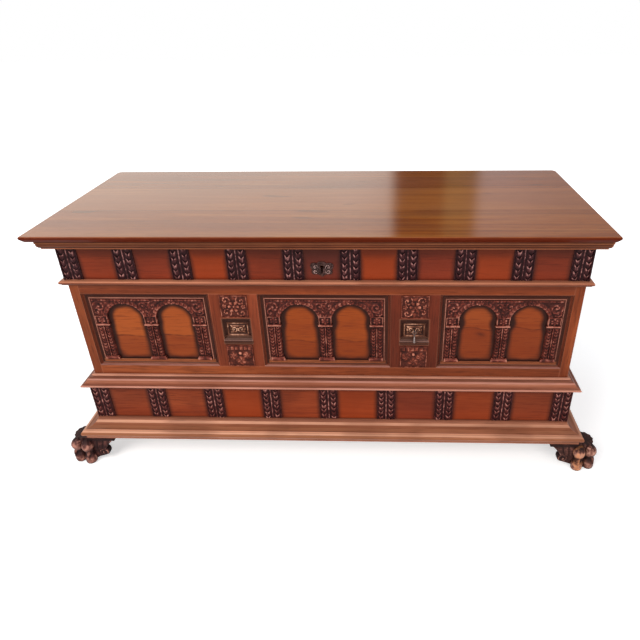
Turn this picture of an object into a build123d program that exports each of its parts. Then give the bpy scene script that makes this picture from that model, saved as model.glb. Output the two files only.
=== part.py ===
from build123d import *
import os

# Italian walnut cassone: a long carved chest with a hinged lid, an arcaded front,
# two small drawers behind the front's muntins and lion-paw front feet.
# Millimetres. +Z up, -Y is the front, +X is the viewer's right.
# Origin: middle of the bounding box's underside, on the floor.

# ---- overall plan ----
CASE_LENGTH = 1404.0
LID_DEPTH = 626.0
LID_LEFT_OVERHANG = 61.0   # the lid sits off the middle, as an old lid on new hinges does
LID_RIGHT_OVERHANG = 43.0
LID_FRONT_OVERHANG = 54.0
LID_REAR_OVERHANG = 12.0
LID_FRONT_CORNER = 3.0
LID_REAR_CORNER = 16.0
LID_TOP_ROUND = 3.5
LID_NOSE_ROUND = 4.0
LID_UNDERCUT = 8.0         # slope under the lid's nose, measured inwards
LID_UNDERCUT_HEIGHT = 9.5
PAW_REACH = 21.0           # toes beyond the lid's front edge
PAW_SPREAD = 113.0         # toes beyond the case's ends

# ---- heights, from the floor up ----
FOOT_HEIGHT = 92.0
BASE_MOULDING_HEIGHT = 58.0
LOWER_FRIEZE_HEIGHT = 121.0
WAIST_HEIGHT = 30.0
BOTTOM_RAIL_SIGHT = 29.0   # rail seen between the waist moulding and the panels
OPENING_HEIGHT = 239.0     # panel opening between the rails
TOP_RAIL_SIGHT = 31.0
ASTRAGAL_HEIGHT = 13.0
UPPER_FRIEZE_HEIGHT = 99.0
LID_MOULDING_HEIGHT = 27.0
LID_THICKNESS = 16.0

# ---- case boards and frame ----
FRAME_THICKNESS = 28.0
STILE_WIDTH = 26.0
MUNTIN_WIDTH = 135.0
MUNTIN_CENTRE = 251.0      # from the middle of the chest
END_THICKNESS = 22.0
BACK_THICKNESS = 18.0
BOTTOM_THICKNESS = 18.0
BOTTOM_RISE = 30.0         # bottom board above the underside of the case
HOUSING_DEPTH = 6.0        # bottom board let into its neighbours
PANEL_RECESS = 12.0        # panel face behind the frame's face
PANEL_THICKNESS = 10.0
GROOVE_DEPTH = 8.0
GROOVE_SPARE = 0.5         # tongues and panels stop short of the groove's floor
FACING_THICKNESS = 14.0    # lower frieze boards planted on the case
ARRIS = 1.0                # worn edges of boards

# ---- carved bars of the friezes ----
BAR_WIDTH = 54.0
BAR_THICKNESS = 5.0
BAR_EDGE = 3.0             # height of the bar's flat ground
BAR_BORDER = 2.5
BAR_BEAD = 6.0             # smooth bead down the middle
BAR_QUIRK = 2.0            # flat beside the bead
BAR_TOP_GAP = 0.5          # upper bars clear of the lid's moulding
UPPER_BAR_COUNT = 10
LOWER_BAR_COUNT = 9
BAR_LAP = 11.0             # bar lapping over each joint of the short board with the keyhole

# ---- panel mouldings and arcades ----
PANEL_MOULDING_WIDTH = 20.0
PANEL_BEAD = 5.0
PANEL_LIP = 2.5            # flat edge along the frame
PANEL_LIP_SET = 1.0        # that edge behind the frame's face
PANEL_COVE_FOOT = 2.5      # cove's foot above the panel
PANEL_COVE_SAG = 3.0
PANEL_QUIRK = 1.0          # step between the cove and the bead
ARCADE_GROUND = 5.0        # arch plate on the panel
SHAFT_WIDTH = 36.0
SHAFT_RELIEF = 2.0
CAPITAL_HEIGHT = 27.0
CAPITAL_RISE = 119.0       # underside of the capital above the arcade's foot
CAPITAL_RELIEF = 3.0
ABACUS_HEIGHT = 3.5
ABACUS_RELIEF = 4.5
COLUMN_BASE_HEIGHT = 11.0
COLUMN_BASE_SPLAY = 6.0    # base beyond the shaft on each side
CROWN_MARGIN = 15.0        # arch plate left above each arch

# ---- carved blocks, drawers and their surrounds ----
BLOCK_WIDTH = 76.0
BLOCK_THICKNESS = 5.0
BLOCK_MARGIN = 3.0         # muntin left at the block's far end
BLOCK_GAP = 4.0            # muntin left between a block and the recess
BLOCK_GROUND = 2.5         # sunk ground of the carving
BLOCK_BORDER = 3.5
ROSETTE_RADIUS = 14.0
PETAL_COUNT = 8
PETAL_RADIUS = 6.0
BOSS_RADIUS = 6.0
RECESS_WIDTH = 84.0
RECESS_HEIGHT = 84.0
RECESS_RISE = 79.0         # recess above the panel opening's foot
SURROUND_SILL = 23.0
SURROUND_LIP = 8.0         # depth of the surround's sloping face
SURROUND_FILLET = 3.0      # flat edge round the surround
SILL_PROUD = 3.0
SILL_STEP = 8.0            # height of the sill's lower, foremost step
SILL_REED = 6.5            # height of the half-round above it
SILL_REED_BULGE = 2.5
SILL_SPLAY = 3.0           # sloping shelf above the reed starts this far in
DRAWER_WIDTH = 60.0
DRAWER_HEIGHT = 42.0
DRAWER_FRONT_THICKNESS = 14.0
DRAWER_BULGE = 6.0         # cushion of the drawer front before its ground
DRAWER_LIP = 3.0           # height of the lip and its depth in front of the ground
DRAWER_HOLLOW = 9.0        # height of the hollow above the lip
DRAWER_HOLLOW_SAG = 1.2
DRAWER_CUSHION_SET = 1.0   # cushion's foot before the ground
DRAWER_LENGTH = 190.0
DRAWER_WALL = 6.0
DRAWER_BOTTOM = 5.0
DRAWER_GAP = 0.6
DRAWER_SLIP = 0.3          # under the drawer
DRAWER_SET = 11.0          # ground of the drawer front behind the frame's face
DRAWER_RIM_DROP = 5.0      # sides lower than the front
TUNNEL_WALL = 8.0
TUNNEL_SPARE = 0.5         # end stop behind the closed drawer

# ---- mouldings: an outset is how far a member stands out from the case ----
QUIRK = 2.0                # square step between the members of a moulding
LID_MOULDING_OUTSET = 35.0
LID_MOULDING_FOOT = 26.0
LID_MOULDING_GAP = 1.5     # running clearance round the case
LID_MOULDING_FILLET = 4.0
LID_MOULDING_BROW = 10.0
OVOLO_BULGE = 2.2
ASTRAGAL_OUTSET = 16.0
ASTRAGAL_FILLET = 2.5
WAIST_OUTSET = 35.0
WAIST_NOSING = 7.0
WAIST_TOP_OUTSET = 5.0
WAIST_BEAD = 5.0
CYMA_BEND = 1.8
BASE_TOP_OUTSET = 19.0
BASE_TORUS_OUTSET = 63.0
BASE_FOOT_OUTSET = 53.0
BASE_FILLET = 6.0
BASE_STEP = 4.0
BASE_NECK = 5.0
TORUS_HEIGHT = 20.0
TORUS_BULGE = 8.0
BASE_COVE_SAG = 5.0
BASE_BROW = 5.0

# ---- lid battens, hinges and lock ----
BATTEN_WIDTH = 60.0
BATTEN_THICKNESS = 20.0
BATTEN_GAP = 4.0           # clear of the case's inside
BATTEN_BACK_GAP = 8.0
HINGE_CENTRE = 430.0
HINGE_LENGTH = 84.0
HINGE_LEAF = 2.5
HINGE_LEAF_REACH = 16.0    # case leaf, let into the back's top edge
HINGE_STRAP_REACH = 60.0   # lid leaf, let into the lid
KNUCKLE_RADIUS = 4.5
KNUCKLE_SET = 5.5          # pin behind the case's back
KNUCKLE_GAP = 0.4
PIN_RADIUS = 2.0
PIN_CLEARANCE = 0.06
LOCK_WIDTH = 110.0
LOCK_HEIGHT = 104.0
LOCK_DEPTH = 28.0
LOCK_DROP = 12.0           # lock case below the case's rim
BOLT_HEIGHT = 10.0
BOLT_THICKNESS = 5.0
BOLT_LENGTH = 44.0
BOLT_TRAVEL = 14.0
BOLT_DROP = 12.0           # bolt's top below the lock case's top
BOLT_GAP = 0.3
STAPLE_WIDTH = 30.0
STAPLE_THICKNESS = 4.0
STAPLE_WIRE = 3.5
STAPLE_SPARE = 1.0         # round the bolt inside the staple's eye
STAPLE_SIDE_GAP = 2.0
STAPLE_CLEARANCE = 2.4     # front and back, for the lid's swing
STAPLE_PLATE = 2.5
KEYHOLE_BAR = 11.0         # crossbar of the T-shaped keyhole
KEYHOLE_BAR_HEIGHT = 6.0
KEYHOLE_SLOT = 4.6
KEYHOLE_HEIGHT = 21.0
KEYHOLE_RISE = 32.0        # keyhole's middle above the astragal
ESCUTCHEON_WIDTH = 60.0
ESCUTCHEON_HEIGHT = 44.0
ESCUTCHEON_THICKNESS = 2.0
# right half from the crest down: x and y as parts of the half sizes, bulge of the arc that ends there
ESCUTCHEON_OUTLINE = (
    (0.45, 0.72, 2.0),
    (1.0, 0.62, 3.5),
    (0.86, -0.1, 2.0),
    (0.78, -0.62, 3.0),
    (0.0, -1.0, -3.0),
)

# ---- drop pull of the right drawer ----
EYE_RADIUS = 4.2
EYE_WIRE = 1.3
EYE_RISE = 27.0            # eye above the drawer front's foot
EYE_STAND = 7.6            # eye in front of the frame's face
SHANK_END = 10.0           # shank behind the drawer front's ground
PULL_RING_RADIUS = 4.6
PULL_WIRE = 1.2
PULL_NECK = 1.9            # radius of the drop where it leaves its ring
PULL_DROP = 29.0
PULL_RADIUS = 3.4
PULL_BEND = 0.6            # hollow of the drop's side
LINK_GAP = 0.25

# ---- feet ----
TOE_RADIUS = 18.0
TOE_NECK_RADIUS = 13.0
TOE_PAD_RADIUS = 17.0
TOE_PAD_SHOULDER = 24.0    # height of the pad's upright side
TOE_PAD_HEIGHT = 34.0
TOE_SOLE_ROUND = 5.0
TOE_PITCH = 37.0
TOE_KNUCKLE_HEIGHT = 65.0
TOE_STAGGER = 9.0          # outer toes behind the first
HEEL_RADIUS = 32.0
HEEL_SET_X = 22.0          # middle of the heel from the outer toe
HEEL_SET_Y = 33.0
ANKLE_RADIUS = 24.0
ANKLE_SET = 6.0            # middle of the ankle outside the moulding's end
PAW_HUMP = 18.0            # ankle above the underside of the base moulding
PAW_GAP = 0.3              # ankle clear of the base moulding
FOOT_PLATE = 10.0          # flat plate under the base moulding
FOOT_PLATE_INSET = 30.0    # plate behind the case's faces
WING_REACH = 143.0         # bracket's tip behind the outermost toe
WING_LENGTH = 84.0
WING_THICKNESS = 22.0
WING_SET = 8.0             # bracket behind the base moulding's torus
WING_TIP = 4.0
WING_HOLLOW = 2.0          # sag of the bracket's edge between tip and scroll
WING_SCROLL = 34.0         # tip to scroll
WING_SCROLL_TOP = 48.0
WING_SCROLL_FOOT = 24.0
WING_SCROLL_BULGE = 6.0
WING_HEEL = 6.0            # underside of the bracket where it meets the paw
REAR_FOOT_WIDTH = 80.0
REAR_FOOT_SET = 4.0        # rear foot inside the base moulding's foot
REAR_FOOT_TAPER = 12.0

# ---- levels ----
z_case = FOOT_HEIGHT
z_lower_frieze = z_case + BASE_MOULDING_HEIGHT
z_waist = z_lower_frieze + LOWER_FRIEZE_HEIGHT
z_body = z_waist + WAIST_HEIGHT
z_opening = z_body + BOTTOM_RAIL_SIGHT
z_top_rail = z_opening + OPENING_HEIGHT
z_astragal = z_top_rail + TOP_RAIL_SIGHT
z_upper_frieze = z_astragal + ASTRAGAL_HEIGHT
z_lid_moulding = z_upper_frieze + UPPER_FRIEZE_HEIGHT
z_lid = z_lid_moulding + LID_MOULDING_HEIGHT
z_seam = z_astragal + ASTRAGAL_HEIGHT / 2
z_nose = z_lid + LID_UNDERCUT_HEIGHT

# ---- plan ----
total_depth = LID_DEPTH + PAW_REACH
case_half = CASE_LENGTH / 2
lid_left = -case_half - LID_LEFT_OVERHANG
lid_right = case_half + LID_RIGHT_OVERHANG
lid_back = total_depth / 2
lid_front = lid_back - LID_DEPTH
case_front = lid_front + LID_FRONT_OVERHANG
case_back = lid_back - LID_REAR_OVERHANG
frame_back = case_front + FRAME_THICKNESS
inner_half = case_half - END_THICKNESS
inner_back = case_back - BACK_THICKNESS
stile_inner = case_half - STILE_WIDTH
panel_front = case_front + PANEL_RECESS
panel_back = panel_front + PANEL_THICKNESS
facing_front = case_front - FACING_THICKNESS
facing_half = case_half + FACING_THICKNESS
muntin_near = MUNTIN_CENTRE - MUNTIN_WIDTH / 2
muntin_far = MUNTIN_CENTRE + MUNTIN_WIDTH / 2
toe_front = -total_depth / 2
toe_side = case_half + PAW_SPREAD
SIDES = {"left": -1, "right": 1}

os.makedirs("parts", exist_ok=True)


def save(piece, name):
    """Label a finished piece and write it as its own STEP file."""
    piece.part.label = name
    export_step(piece.part, f"parts/{name}.step")


def middle(span):
    """Middle of a (low, high) pair."""
    return (span[0] + span[1]) / 2


def length(span):
    """Length of a (low, high) pair."""
    return span[1] - span[0]


def board(x_span, y_span, z_span):
    """A squared board between its lowest and highest faces."""
    with BuildPart() as piece:
        with BuildSketch(Plane.XY.offset(z_span[0])):
            with Locations((middle(x_span), middle(y_span))):
                Rectangle(length(x_span), length(y_span))
        extrude(amount=length(z_span))
    return piece.part


def side_plane(x):
    """Plane across the chest: local X is out from the case's front, local Y is up, normal to the left."""
    return Plane(origin=(x, case_front, 0), x_dir=(0, -1, 0), z_dir=(-1, 0, 0))


def front_plane(y):
    """Drawing plane seen from the front: local X is +X, local Y is up, normal towards the front."""
    return Plane(origin=(0, y, 0), x_dir=(1, 0, 0), z_dir=(0, -1, 0))


def mirrored(part):
    """The same piece for the left side of the chest."""
    with BuildPart() as piece:
        mirror(part, about=Plane.YZ)
    return piece


def save_pair(piece, name):
    """Write a right-hand piece and its mirror image."""
    save(piece, f"{name}_right")
    save(mirrored(piece.part), f"{name}_left")


# ---------------------------------------------------------------- mouldings
def mitre_plane(side):
    """Upright plane through a front corner of the case, at 45 degrees; its normal points outward."""
    return Plane(origin=(side * case_half, case_front, 0), x_dir=(side, -1, 0), z_dir=(side, 1, 0))


def moulding_runs(section, back):
    """Front run and right return of a moulding, mitred at the corners.

    section draws the closed outline as (distance out from the case, height).
    """
    spare = BASE_TORUS_OUTSET * 2
    with BuildPart() as front:
        with BuildSketch(side_plane(case_half + spare)):
            with BuildLine():
                section()
            make_face()
        extrude(amount=2 * (case_half + spare))
        split(bisect_by=mitre_plane(1), keep=Keep.BOTTOM)
        split(bisect_by=mitre_plane(-1), keep=Keep.BOTTOM)
    with BuildPart() as right:
        with BuildSketch(Plane(origin=(case_half, back, 0), x_dir=(1, 0, 0), z_dir=(0, -1, 0))):
            with BuildLine():
                section()
            make_face()
        extrude(amount=back - case_front + spare)
        split(bisect_by=mitre_plane(1), keep=Keep.TOP)
    return front, right


def save_moulding(section, name, back):
    """Write the three mitred lengths of one moulding."""
    front, right = moulding_runs(section, back)
    save(front, f"{name}_front")
    save_pair(right, name)


def lid_moulding_section():
    """Fillet, ovolo and fascia planted under the lid's edge."""
    foot, top = z_lid_moulding, z_lid
    brow, nose = LID_MOULDING_OUTSET, LID_MOULDING_FOOT
    ovolo_foot = (nose + QUIRK, foot + LID_MOULDING_FILLET)
    ovolo_top = (brow - QUIRK, top - LID_MOULDING_BROW)
    Polyline((LID_MOULDING_GAP, top), (LID_MOULDING_GAP, foot), (nose, foot))
    Polyline((nose, foot), (nose, ovolo_foot[1]), ovolo_foot)
    SagittaArc(ovolo_foot, ovolo_top, -OVOLO_BULGE)
    Polyline(ovolo_top, (brow, ovolo_top[1]), (brow, top), (LID_MOULDING_GAP, top))


def astragal_section():
    """Half-round nosing on a small fillet."""
    foot, top = z_astragal, z_upper_frieze
    ledge = foot + ASTRAGAL_FILLET
    radius = (top - ledge) / 2
    step = ASTRAGAL_OUTSET - radius
    Polyline((0, top), (0, foot), (step, foot), (step, ledge))
    SagittaArc((step, ledge), (step, top), -radius)
    Line((step, top), (0, top))


def waist_section():
    """Nosing, cyma and bead where the body steps out to the plinth."""
    foot, top = z_waist, z_body
    nosing, bead = WAIST_NOSING / 2, WAIST_BEAD / 2
    rim = WAIST_OUTSET - nosing
    cyma_foot = (rim - QUIRK, foot + WAIST_NOSING + QUIRK)
    cyma_top = (WAIST_TOP_OUTSET + WAIST_BEAD, top - WAIST_BEAD - QUIRK)
    turn = (middle((cyma_foot[0], cyma_top[0])), middle((cyma_foot[1], cyma_top[1])))
    Polyline((0, top), (0, foot), (rim, foot))
    SagittaArc((rim, foot), (rim, foot + WAIST_NOSING), -nosing)
    Polyline((rim, foot + WAIST_NOSING), (cyma_foot[0], foot + WAIST_NOSING), cyma_foot)
    SagittaArc(cyma_foot, turn, CYMA_BEND)
    SagittaArc(turn, cyma_top, -CYMA_BEND)
    bead_foot = (WAIST_TOP_OUTSET, top - WAIST_BEAD)
    Polyline(cyma_top, (WAIST_TOP_OUTSET, cyma_top[1]), bead_foot)
    SagittaArc(bead_foot, (WAIST_TOP_OUTSET, top), -bead)
    Line((WAIST_TOP_OUTSET, top), (0, top))


def base_section():
    """Stepped foot, torus, cove and brow of the big base moulding."""
    foot, top = z_case, z_lower_frieze
    back = FACING_THICKNESS
    brow, toe = BASE_TOP_OUTSET, BASE_FOOT_OUTSET
    chord = BASE_TORUS_OUTSET - TORUS_BULGE
    neck = foot + BASE_FILLET + BASE_NECK
    shoulder = neck + TORUS_HEIGHT
    cove_foot = (chord - BASE_STEP, shoulder + QUIRK)
    cove_top = (brow, top - BASE_BROW)
    ledge = foot + BASE_FILLET
    Polyline((back, top), (back, foot), (toe, foot), (toe, ledge))
    Polyline((toe, ledge), (toe - BASE_STEP, ledge), (toe - BASE_STEP, neck), (chord, neck))
    SagittaArc((chord, neck), (chord, shoulder), -TORUS_BULGE)
    Polyline((chord, shoulder), (cove_foot[0], shoulder), cove_foot)
    SagittaArc(cove_foot, cove_top, BASE_COVE_SAG)
    Polyline(cove_top, (brow, top), (back, top))


# ---------------------------------------------------------------- case frame
def tongue_span():
    """Front and back of every tongue and groove in the frame."""
    return (panel_front, panel_back)


def build_stile():
    """Corner post of the front, full height, grooved down its inner edge and housed for the bottom board."""
    with BuildPart() as stile:
        add(board((stile_inner, case_half), (case_front, frame_back), (z_case, z_lid)))
        groove = (stile_inner, stile_inner + GROOVE_DEPTH)
        add(board(groove, tongue_span(), (z_case, z_lid)), mode=Mode.SUBTRACT)
        add(bottom_slot(), mode=Mode.SUBTRACT)
        chamfer(stile.edges().filter_by(Axis.Z).sort_by(Axis.X)[-2:].sort_by(Axis.Y)[0], ARRIS)
    save_pair(stile, "stile")


def cross_member(z_span, groove_below=False, groove_above=False):
    """A horizontal member between the stiles, tongued at both ends."""
    reach = stile_inner + GROOVE_DEPTH - GROOVE_SPARE
    with BuildPart() as member:
        add(board((-stile_inner, stile_inner), (case_front, frame_back), z_span))
        add(board((-reach, reach), tongue_span(), z_span))
        if groove_below:
            slot = (z_span[0], z_span[0] + GROOVE_DEPTH)
            add(board((-reach, reach), tongue_span(), slot), mode=Mode.SUBTRACT)
        if groove_above:
            slot = (z_span[1] - GROOVE_DEPTH, z_span[1])
            add(board((-reach, reach), tongue_span(), slot), mode=Mode.SUBTRACT)
    return member


def keyhole_height():
    """Level of the keyhole's middle."""
    return z_upper_frieze + KEYHOLE_RISE


def keyhole_cut(front, back):
    """T-shaped keyhole, cut through everything between two depths."""
    top = keyhole_height() + KEYHOLE_HEIGHT / 2
    with BuildPart() as cut:
        with BuildSketch(front_plane(back)):
            with Locations((0, top)):
                Rectangle(KEYHOLE_BAR, KEYHOLE_BAR_HEIGHT, align=(Align.CENTER, Align.MAX))
                Rectangle(KEYHOLE_SLOT, KEYHOLE_HEIGHT, align=(Align.CENTER, Align.MAX))
        extrude(amount=back - front)
    return cut.part


def build_rails():
    """Top and bottom rails and the board of the upper frieze."""
    save(cross_member((z_top_rail, z_seam), groove_below=True), "top_rail")
    bottom_rail = cross_member((z_case, z_opening), groove_above=True)
    with BuildPart() as rail:
        add(bottom_rail.part)
        add(bottom_slot(), mode=Mode.SUBTRACT)
    save(rail, "bottom_rail")
    build_upper_frieze()


def build_upper_frieze():
    """Frieze of two long boards and a short one with the keyhole, its joints under the middle bars."""
    reach = bar_pitch(case_half, UPPER_BAR_COUNT) / 2 - BAR_WIDTH / 2 + BAR_LAP
    short_board = board((-reach, reach), (case_front, frame_back), (z_seam, z_lid))
    with BuildPart() as long_boards:
        add(cross_member((z_seam, z_lid)).part)
        add(short_board, mode=Mode.SUBTRACT)
    save(long_boards, "upper_frieze_board")
    with BuildPart() as keyhole_board:
        add(short_board)
        add(keyhole_cut(case_front - 1, frame_back + 1), mode=Mode.SUBTRACT)
    save(keyhole_board, "keyhole_board")


def muntin_hole():
    """Square hole of the drawer recess in the right-hand muntin, as (x span, z span)."""
    x_span = (MUNTIN_CENTRE - RECESS_WIDTH / 2, MUNTIN_CENTRE + RECESS_WIDTH / 2)
    z_span = (z_opening + RECESS_RISE, z_opening + RECESS_RISE + RECESS_HEIGHT)
    return x_span, z_span


def build_muntin():
    """Wide upright between two panels, grooved both sides and pierced for its drawer."""
    reach = GROOVE_DEPTH - GROOVE_SPARE
    x_hole, z_hole = muntin_hole()
    with BuildPart() as muntin:
        add(board((muntin_near, muntin_far), (case_front, frame_back), (z_opening, z_top_rail)))
        add(board((muntin_near, muntin_far), tongue_span(), (z_opening - reach, z_top_rail + reach)))
        for low in (muntin_near, muntin_far - GROOVE_DEPTH):
            slot = (low, low + GROOVE_DEPTH)
            span = (z_opening - reach, z_top_rail + reach)
            add(board(slot, tongue_span(), span), mode=Mode.SUBTRACT)
        add(board(x_hole, (case_front, frame_back), z_hole), mode=Mode.SUBTRACT)
    save_pair(muntin, "muntin")


def bottom_slot():
    """Space taken by the bottom board in the boards round it."""
    edge_x = inner_half + HOUSING_DEPTH
    low = z_case + BOTTOM_RISE
    y_span = (frame_back - HOUSING_DEPTH, inner_back + HOUSING_DEPTH)
    return board((-edge_x, edge_x), y_span, (low, low + BOTTOM_THICKNESS))


def build_carcass():
    """Ends, back and bottom of the case."""
    with BuildPart() as bottom:
        add(bottom_slot())
    save(bottom, "bottom_board")
    with BuildPart() as end:
        add(board((inner_half, case_half), (frame_back, inner_back), (z_case, z_lid)))
        add(bottom_slot(), mode=Mode.SUBTRACT)
    save_pair(end, "end_board")
    with BuildPart() as back:
        add(board((-case_half, case_half), (inner_back, case_back), (z_case, z_lid)))
        add(bottom_slot(), mode=Mode.SUBTRACT)
        for side in SIDES.values():
            add(hinge_seat(side), mode=Mode.SUBTRACT)
        chamfer(back.faces().sort_by(Axis.Y)[-1].edges().filter_by(Axis.Z), ARRIS)
    save(back, "back_board")


def build_plinth():
    """Facing boards of the lower frieze, mitred at the front corners."""

    def section():
        Polyline(
            (0, z_waist),
            (0, z_case),
            (FACING_THICKNESS, z_case),
            (FACING_THICKNESS, z_waist),
            (0, z_waist),
        )

    save_moulding(section, "lower_frieze", case_back)


# ---------------------------------------------------------------- panels and arcades
def panel_openings():
    """Name and x span of each panel opening, left to right."""
    return {
        "left": (-stile_inner, -muntin_far),
        "centre": (-muntin_near, muntin_near),
        "right": (muntin_far, stile_inner),
    }


def build_panel(name, opening):
    """Flat panel held in the grooves of the frame."""
    reach = GROOVE_DEPTH - GROOVE_SPARE
    with BuildPart() as panel:
        add(
            board(
                (opening[0] - reach, opening[1] + reach),
                tongue_span(),
                (z_opening - reach, z_top_rail + reach),
            )
        )
    save(panel, f"panel_{name}")


def strip_section():
    """Panel moulding: cove falling from the frame's face to a bead, as (inward, height off the panel)."""
    width, foot = PANEL_MOULDING_WIDTH, PANEL_COVE_FOOT
    lip = (PANEL_LIP, PANEL_RECESS - PANEL_LIP_SET)
    bead_start = width - PANEL_BEAD
    Polyline((0, 0), (0, lip[1]), lip)
    SagittaArc(lip, (bead_start - PANEL_QUIRK, foot), -PANEL_COVE_SAG)
    Line((bead_start - PANEL_QUIRK, foot), (bead_start, foot))
    SagittaArc((bead_start, foot), (width, foot), PANEL_BEAD / 2)
    Polyline((width, foot), (width, 0), (0, 0))


def mitred_strip(half_run):
    """One strip along local X, mitred at both ends; local Y is inward and local Z stands off the panel."""
    with BuildPart() as strip:
        with BuildSketch(Plane.YZ.offset(-half_run)):
            with BuildLine():
                strip_section()
            make_face()
        extrude(amount=2 * half_run)
        for end in (-1, 1):
            mitre = Plane(origin=(end * half_run, 0, 0), x_dir=(0, 0, 1), z_dir=(end, 1, 0))
            split(bisect_by=mitre, keep=Keep.BOTTOM)
    return strip.part


def build_panel_moulding(name, opening):
    """Four mitred strips framing a panel, each a piece of its own."""
    x_mid, half_x = middle(opening), length(opening) / 2
    z_mid, half_z = z_opening + OPENING_HEIGHT / 2, OPENING_HEIGHT / 2
    runs = (
        ((1, 0, 0), half_x, x_mid, z_opening),
        ((-1, 0, 0), half_x, x_mid, z_top_rail),
        ((0, 0, 1), half_z, opening[1], z_mid),
        ((0, 0, -1), half_z, opening[0], z_mid),
    )
    strips = []
    for along, half_run, x, z in runs:
        seat = Plane(origin=(x, panel_front, z), x_dir=along, z_dir=(0, -1, 0))
        strips.append(mitred_strip(half_run).moved(seat.location))
    save_group(strips, f"panel_moulding_{name}")


def arcade_span(opening):
    """Lowest and highest x of the arcade inside a panel's moulding."""
    return (opening[0] + PANEL_MOULDING_WIDTH, opening[1] - PANEL_MOULDING_WIDTH)


def build_arcade(name, opening):
    """Two round arches on three columns, cut from one plate, with raised shafts, capitals and bases."""
    span = arcade_span(opening)
    foot = z_opening + PANEL_MOULDING_WIDTH
    top = z_top_rail - PANEL_MOULDING_WIDTH
    height = top - foot
    arch_width = (length(span) - 3 * SHAFT_WIDTH) / 2
    radius = arch_width / 2
    spring = height - CROWN_MARGIN - radius
    pitch = arch_width + SHAFT_WIDTH
    face = panel_front
    shaft_height = CAPITAL_RISE - COLUMN_BASE_HEIGHT
    with BuildPart() as arcade:
        with BuildSketch(front_plane(face)):
            with Locations((middle(span), foot + height / 2)):
                Rectangle(length(span), height)
            with Locations(*[(middle(span) + side * pitch / 2, foot + spring) for side in (-1, 1)]):
                Circle(radius, mode=Mode.SUBTRACT)
                Rectangle(arch_width, spring, align=(Align.CENTER, Align.MAX), mode=Mode.SUBTRACT)
        extrude(amount=ARCADE_GROUND)
        columns = [middle(span) + step * pitch for step in (-1, 0, 1)]
        with BuildSketch(front_plane(face - ARCADE_GROUND)):
            with Locations(*[(x, foot + COLUMN_BASE_HEIGHT + shaft_height / 2) for x in columns]):
                Rectangle(SHAFT_WIDTH - 2 * SHAFT_RELIEF, shaft_height)
        extrude(amount=SHAFT_RELIEF)
        with BuildSketch(front_plane(face - ARCADE_GROUND)):
            with Locations(*[(x, foot + CAPITAL_RISE + CAPITAL_HEIGHT / 2) for x in columns]):
                Rectangle(SHAFT_WIDTH - 1, CAPITAL_HEIGHT)
        extrude(amount=CAPITAL_RELIEF)
        with BuildSketch(front_plane(face)):
            with Locations(*[(x, foot + CAPITAL_RISE - ABACUS_HEIGHT / 2) for x in columns]):
                Rectangle(SHAFT_WIDTH + COLUMN_BASE_SPLAY, ABACUS_HEIGHT)
        extrude(amount=ARCADE_GROUND + ABACUS_RELIEF)
        with BuildSketch(front_plane(face)):
            with Locations(*[(x, foot + COLUMN_BASE_HEIGHT / 2) for x in columns]):
                Rectangle(SHAFT_WIDTH + 2 * COLUMN_BASE_SPLAY, COLUMN_BASE_HEIGHT)
        extrude(amount=ARCADE_GROUND + ABACUS_RELIEF)
        box = board(span, (case_front - PANEL_RECESS, panel_front), (foot, top))
        add(box, mode=Mode.INTERSECT)
    save(arcade, f"arcade_{name}")


# ---------------------------------------------------------------- carved bars
def bar_half_section():
    """Right half of a bar's section as (along the board, out from the board): bead, reed and flat border."""
    half = BAR_WIDTH / 2
    bead = BAR_BEAD / 2
    reed_start = bead + BAR_QUIRK
    reed_end = half - BAR_BORDER
    rise = BAR_THICKNESS - BAR_EDGE
    SagittaArc((bead, BAR_EDGE), (0, BAR_THICKNESS), -0.6)
    Line((bead, BAR_EDGE), (reed_start, BAR_EDGE))
    SagittaArc((reed_start, BAR_EDGE), (reed_end, BAR_EDGE), rise)
    Polyline((reed_end, BAR_EDGE), (half, BAR_EDGE), (half, 0), (0, 0))


def bar_prism(plane, height):
    """A straight carved bar standing on a plane whose local Y points out from the board."""
    with BuildPart() as bar:
        with BuildSketch(plane):
            with BuildLine():
                bar_half_section()
                mirror(about=Plane.YZ)
            make_face()
        extrude(amount=height)
    return bar.part


def bar_pitch(half, count):
    """Distance between the middles of neighbouring bars on a frieze of that half length."""
    return (2 * (half + BAR_THICKNESS) - BAR_WIDTH) / (count - 1)


def build_bars(name, half, front, count, z_span):
    """A row of bars on a frieze; the two at the corners also turn on to the ends."""
    pitch = bar_pitch(half, count)
    spread = pitch * (count - 1) / 2
    height = length(z_span)
    bars = []
    for index in range(count):
        x = index * pitch - spread
        upright = Plane(origin=(x, front, z_span[1]), x_dir=(1, 0, 0), z_dir=(0, 0, -1))
        bars.append(bar_prism(upright, height))
    turn_y = front - BAR_THICKNESS + BAR_WIDTH / 2
    for index, side in ((0, -1), (count - 1, 1)):
        upright = Plane(origin=(side * half, turn_y, z_span[0]), x_dir=(0, -side, 0), z_dir=(0, 0, 1))
        end_bar = bar_prism(upright, height)
        with BuildPart() as corner:
            add(bars[index])
            add(end_bar)
        bars[index] = corner.part
    save_group(bars, name)


def save_group(pieces, name):
    """Write several like pieces as separate solids of one node."""
    group = Compound(children=[piece.solid() for piece in pieces])
    group.label = name
    export_step(group, f"parts/{name}.step")


# ---------------------------------------------------------------- muntin ornament
def block_spans():
    """Lowest and highest z of the carved blocks below and above the recess."""
    _, z_hole = muntin_hole()
    return (
        (z_opening + BLOCK_MARGIN, z_hole[0] - BLOCK_GAP),
        (z_hole[1] + BLOCK_GAP, z_top_rail - BLOCK_MARGIN),
    )


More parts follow.
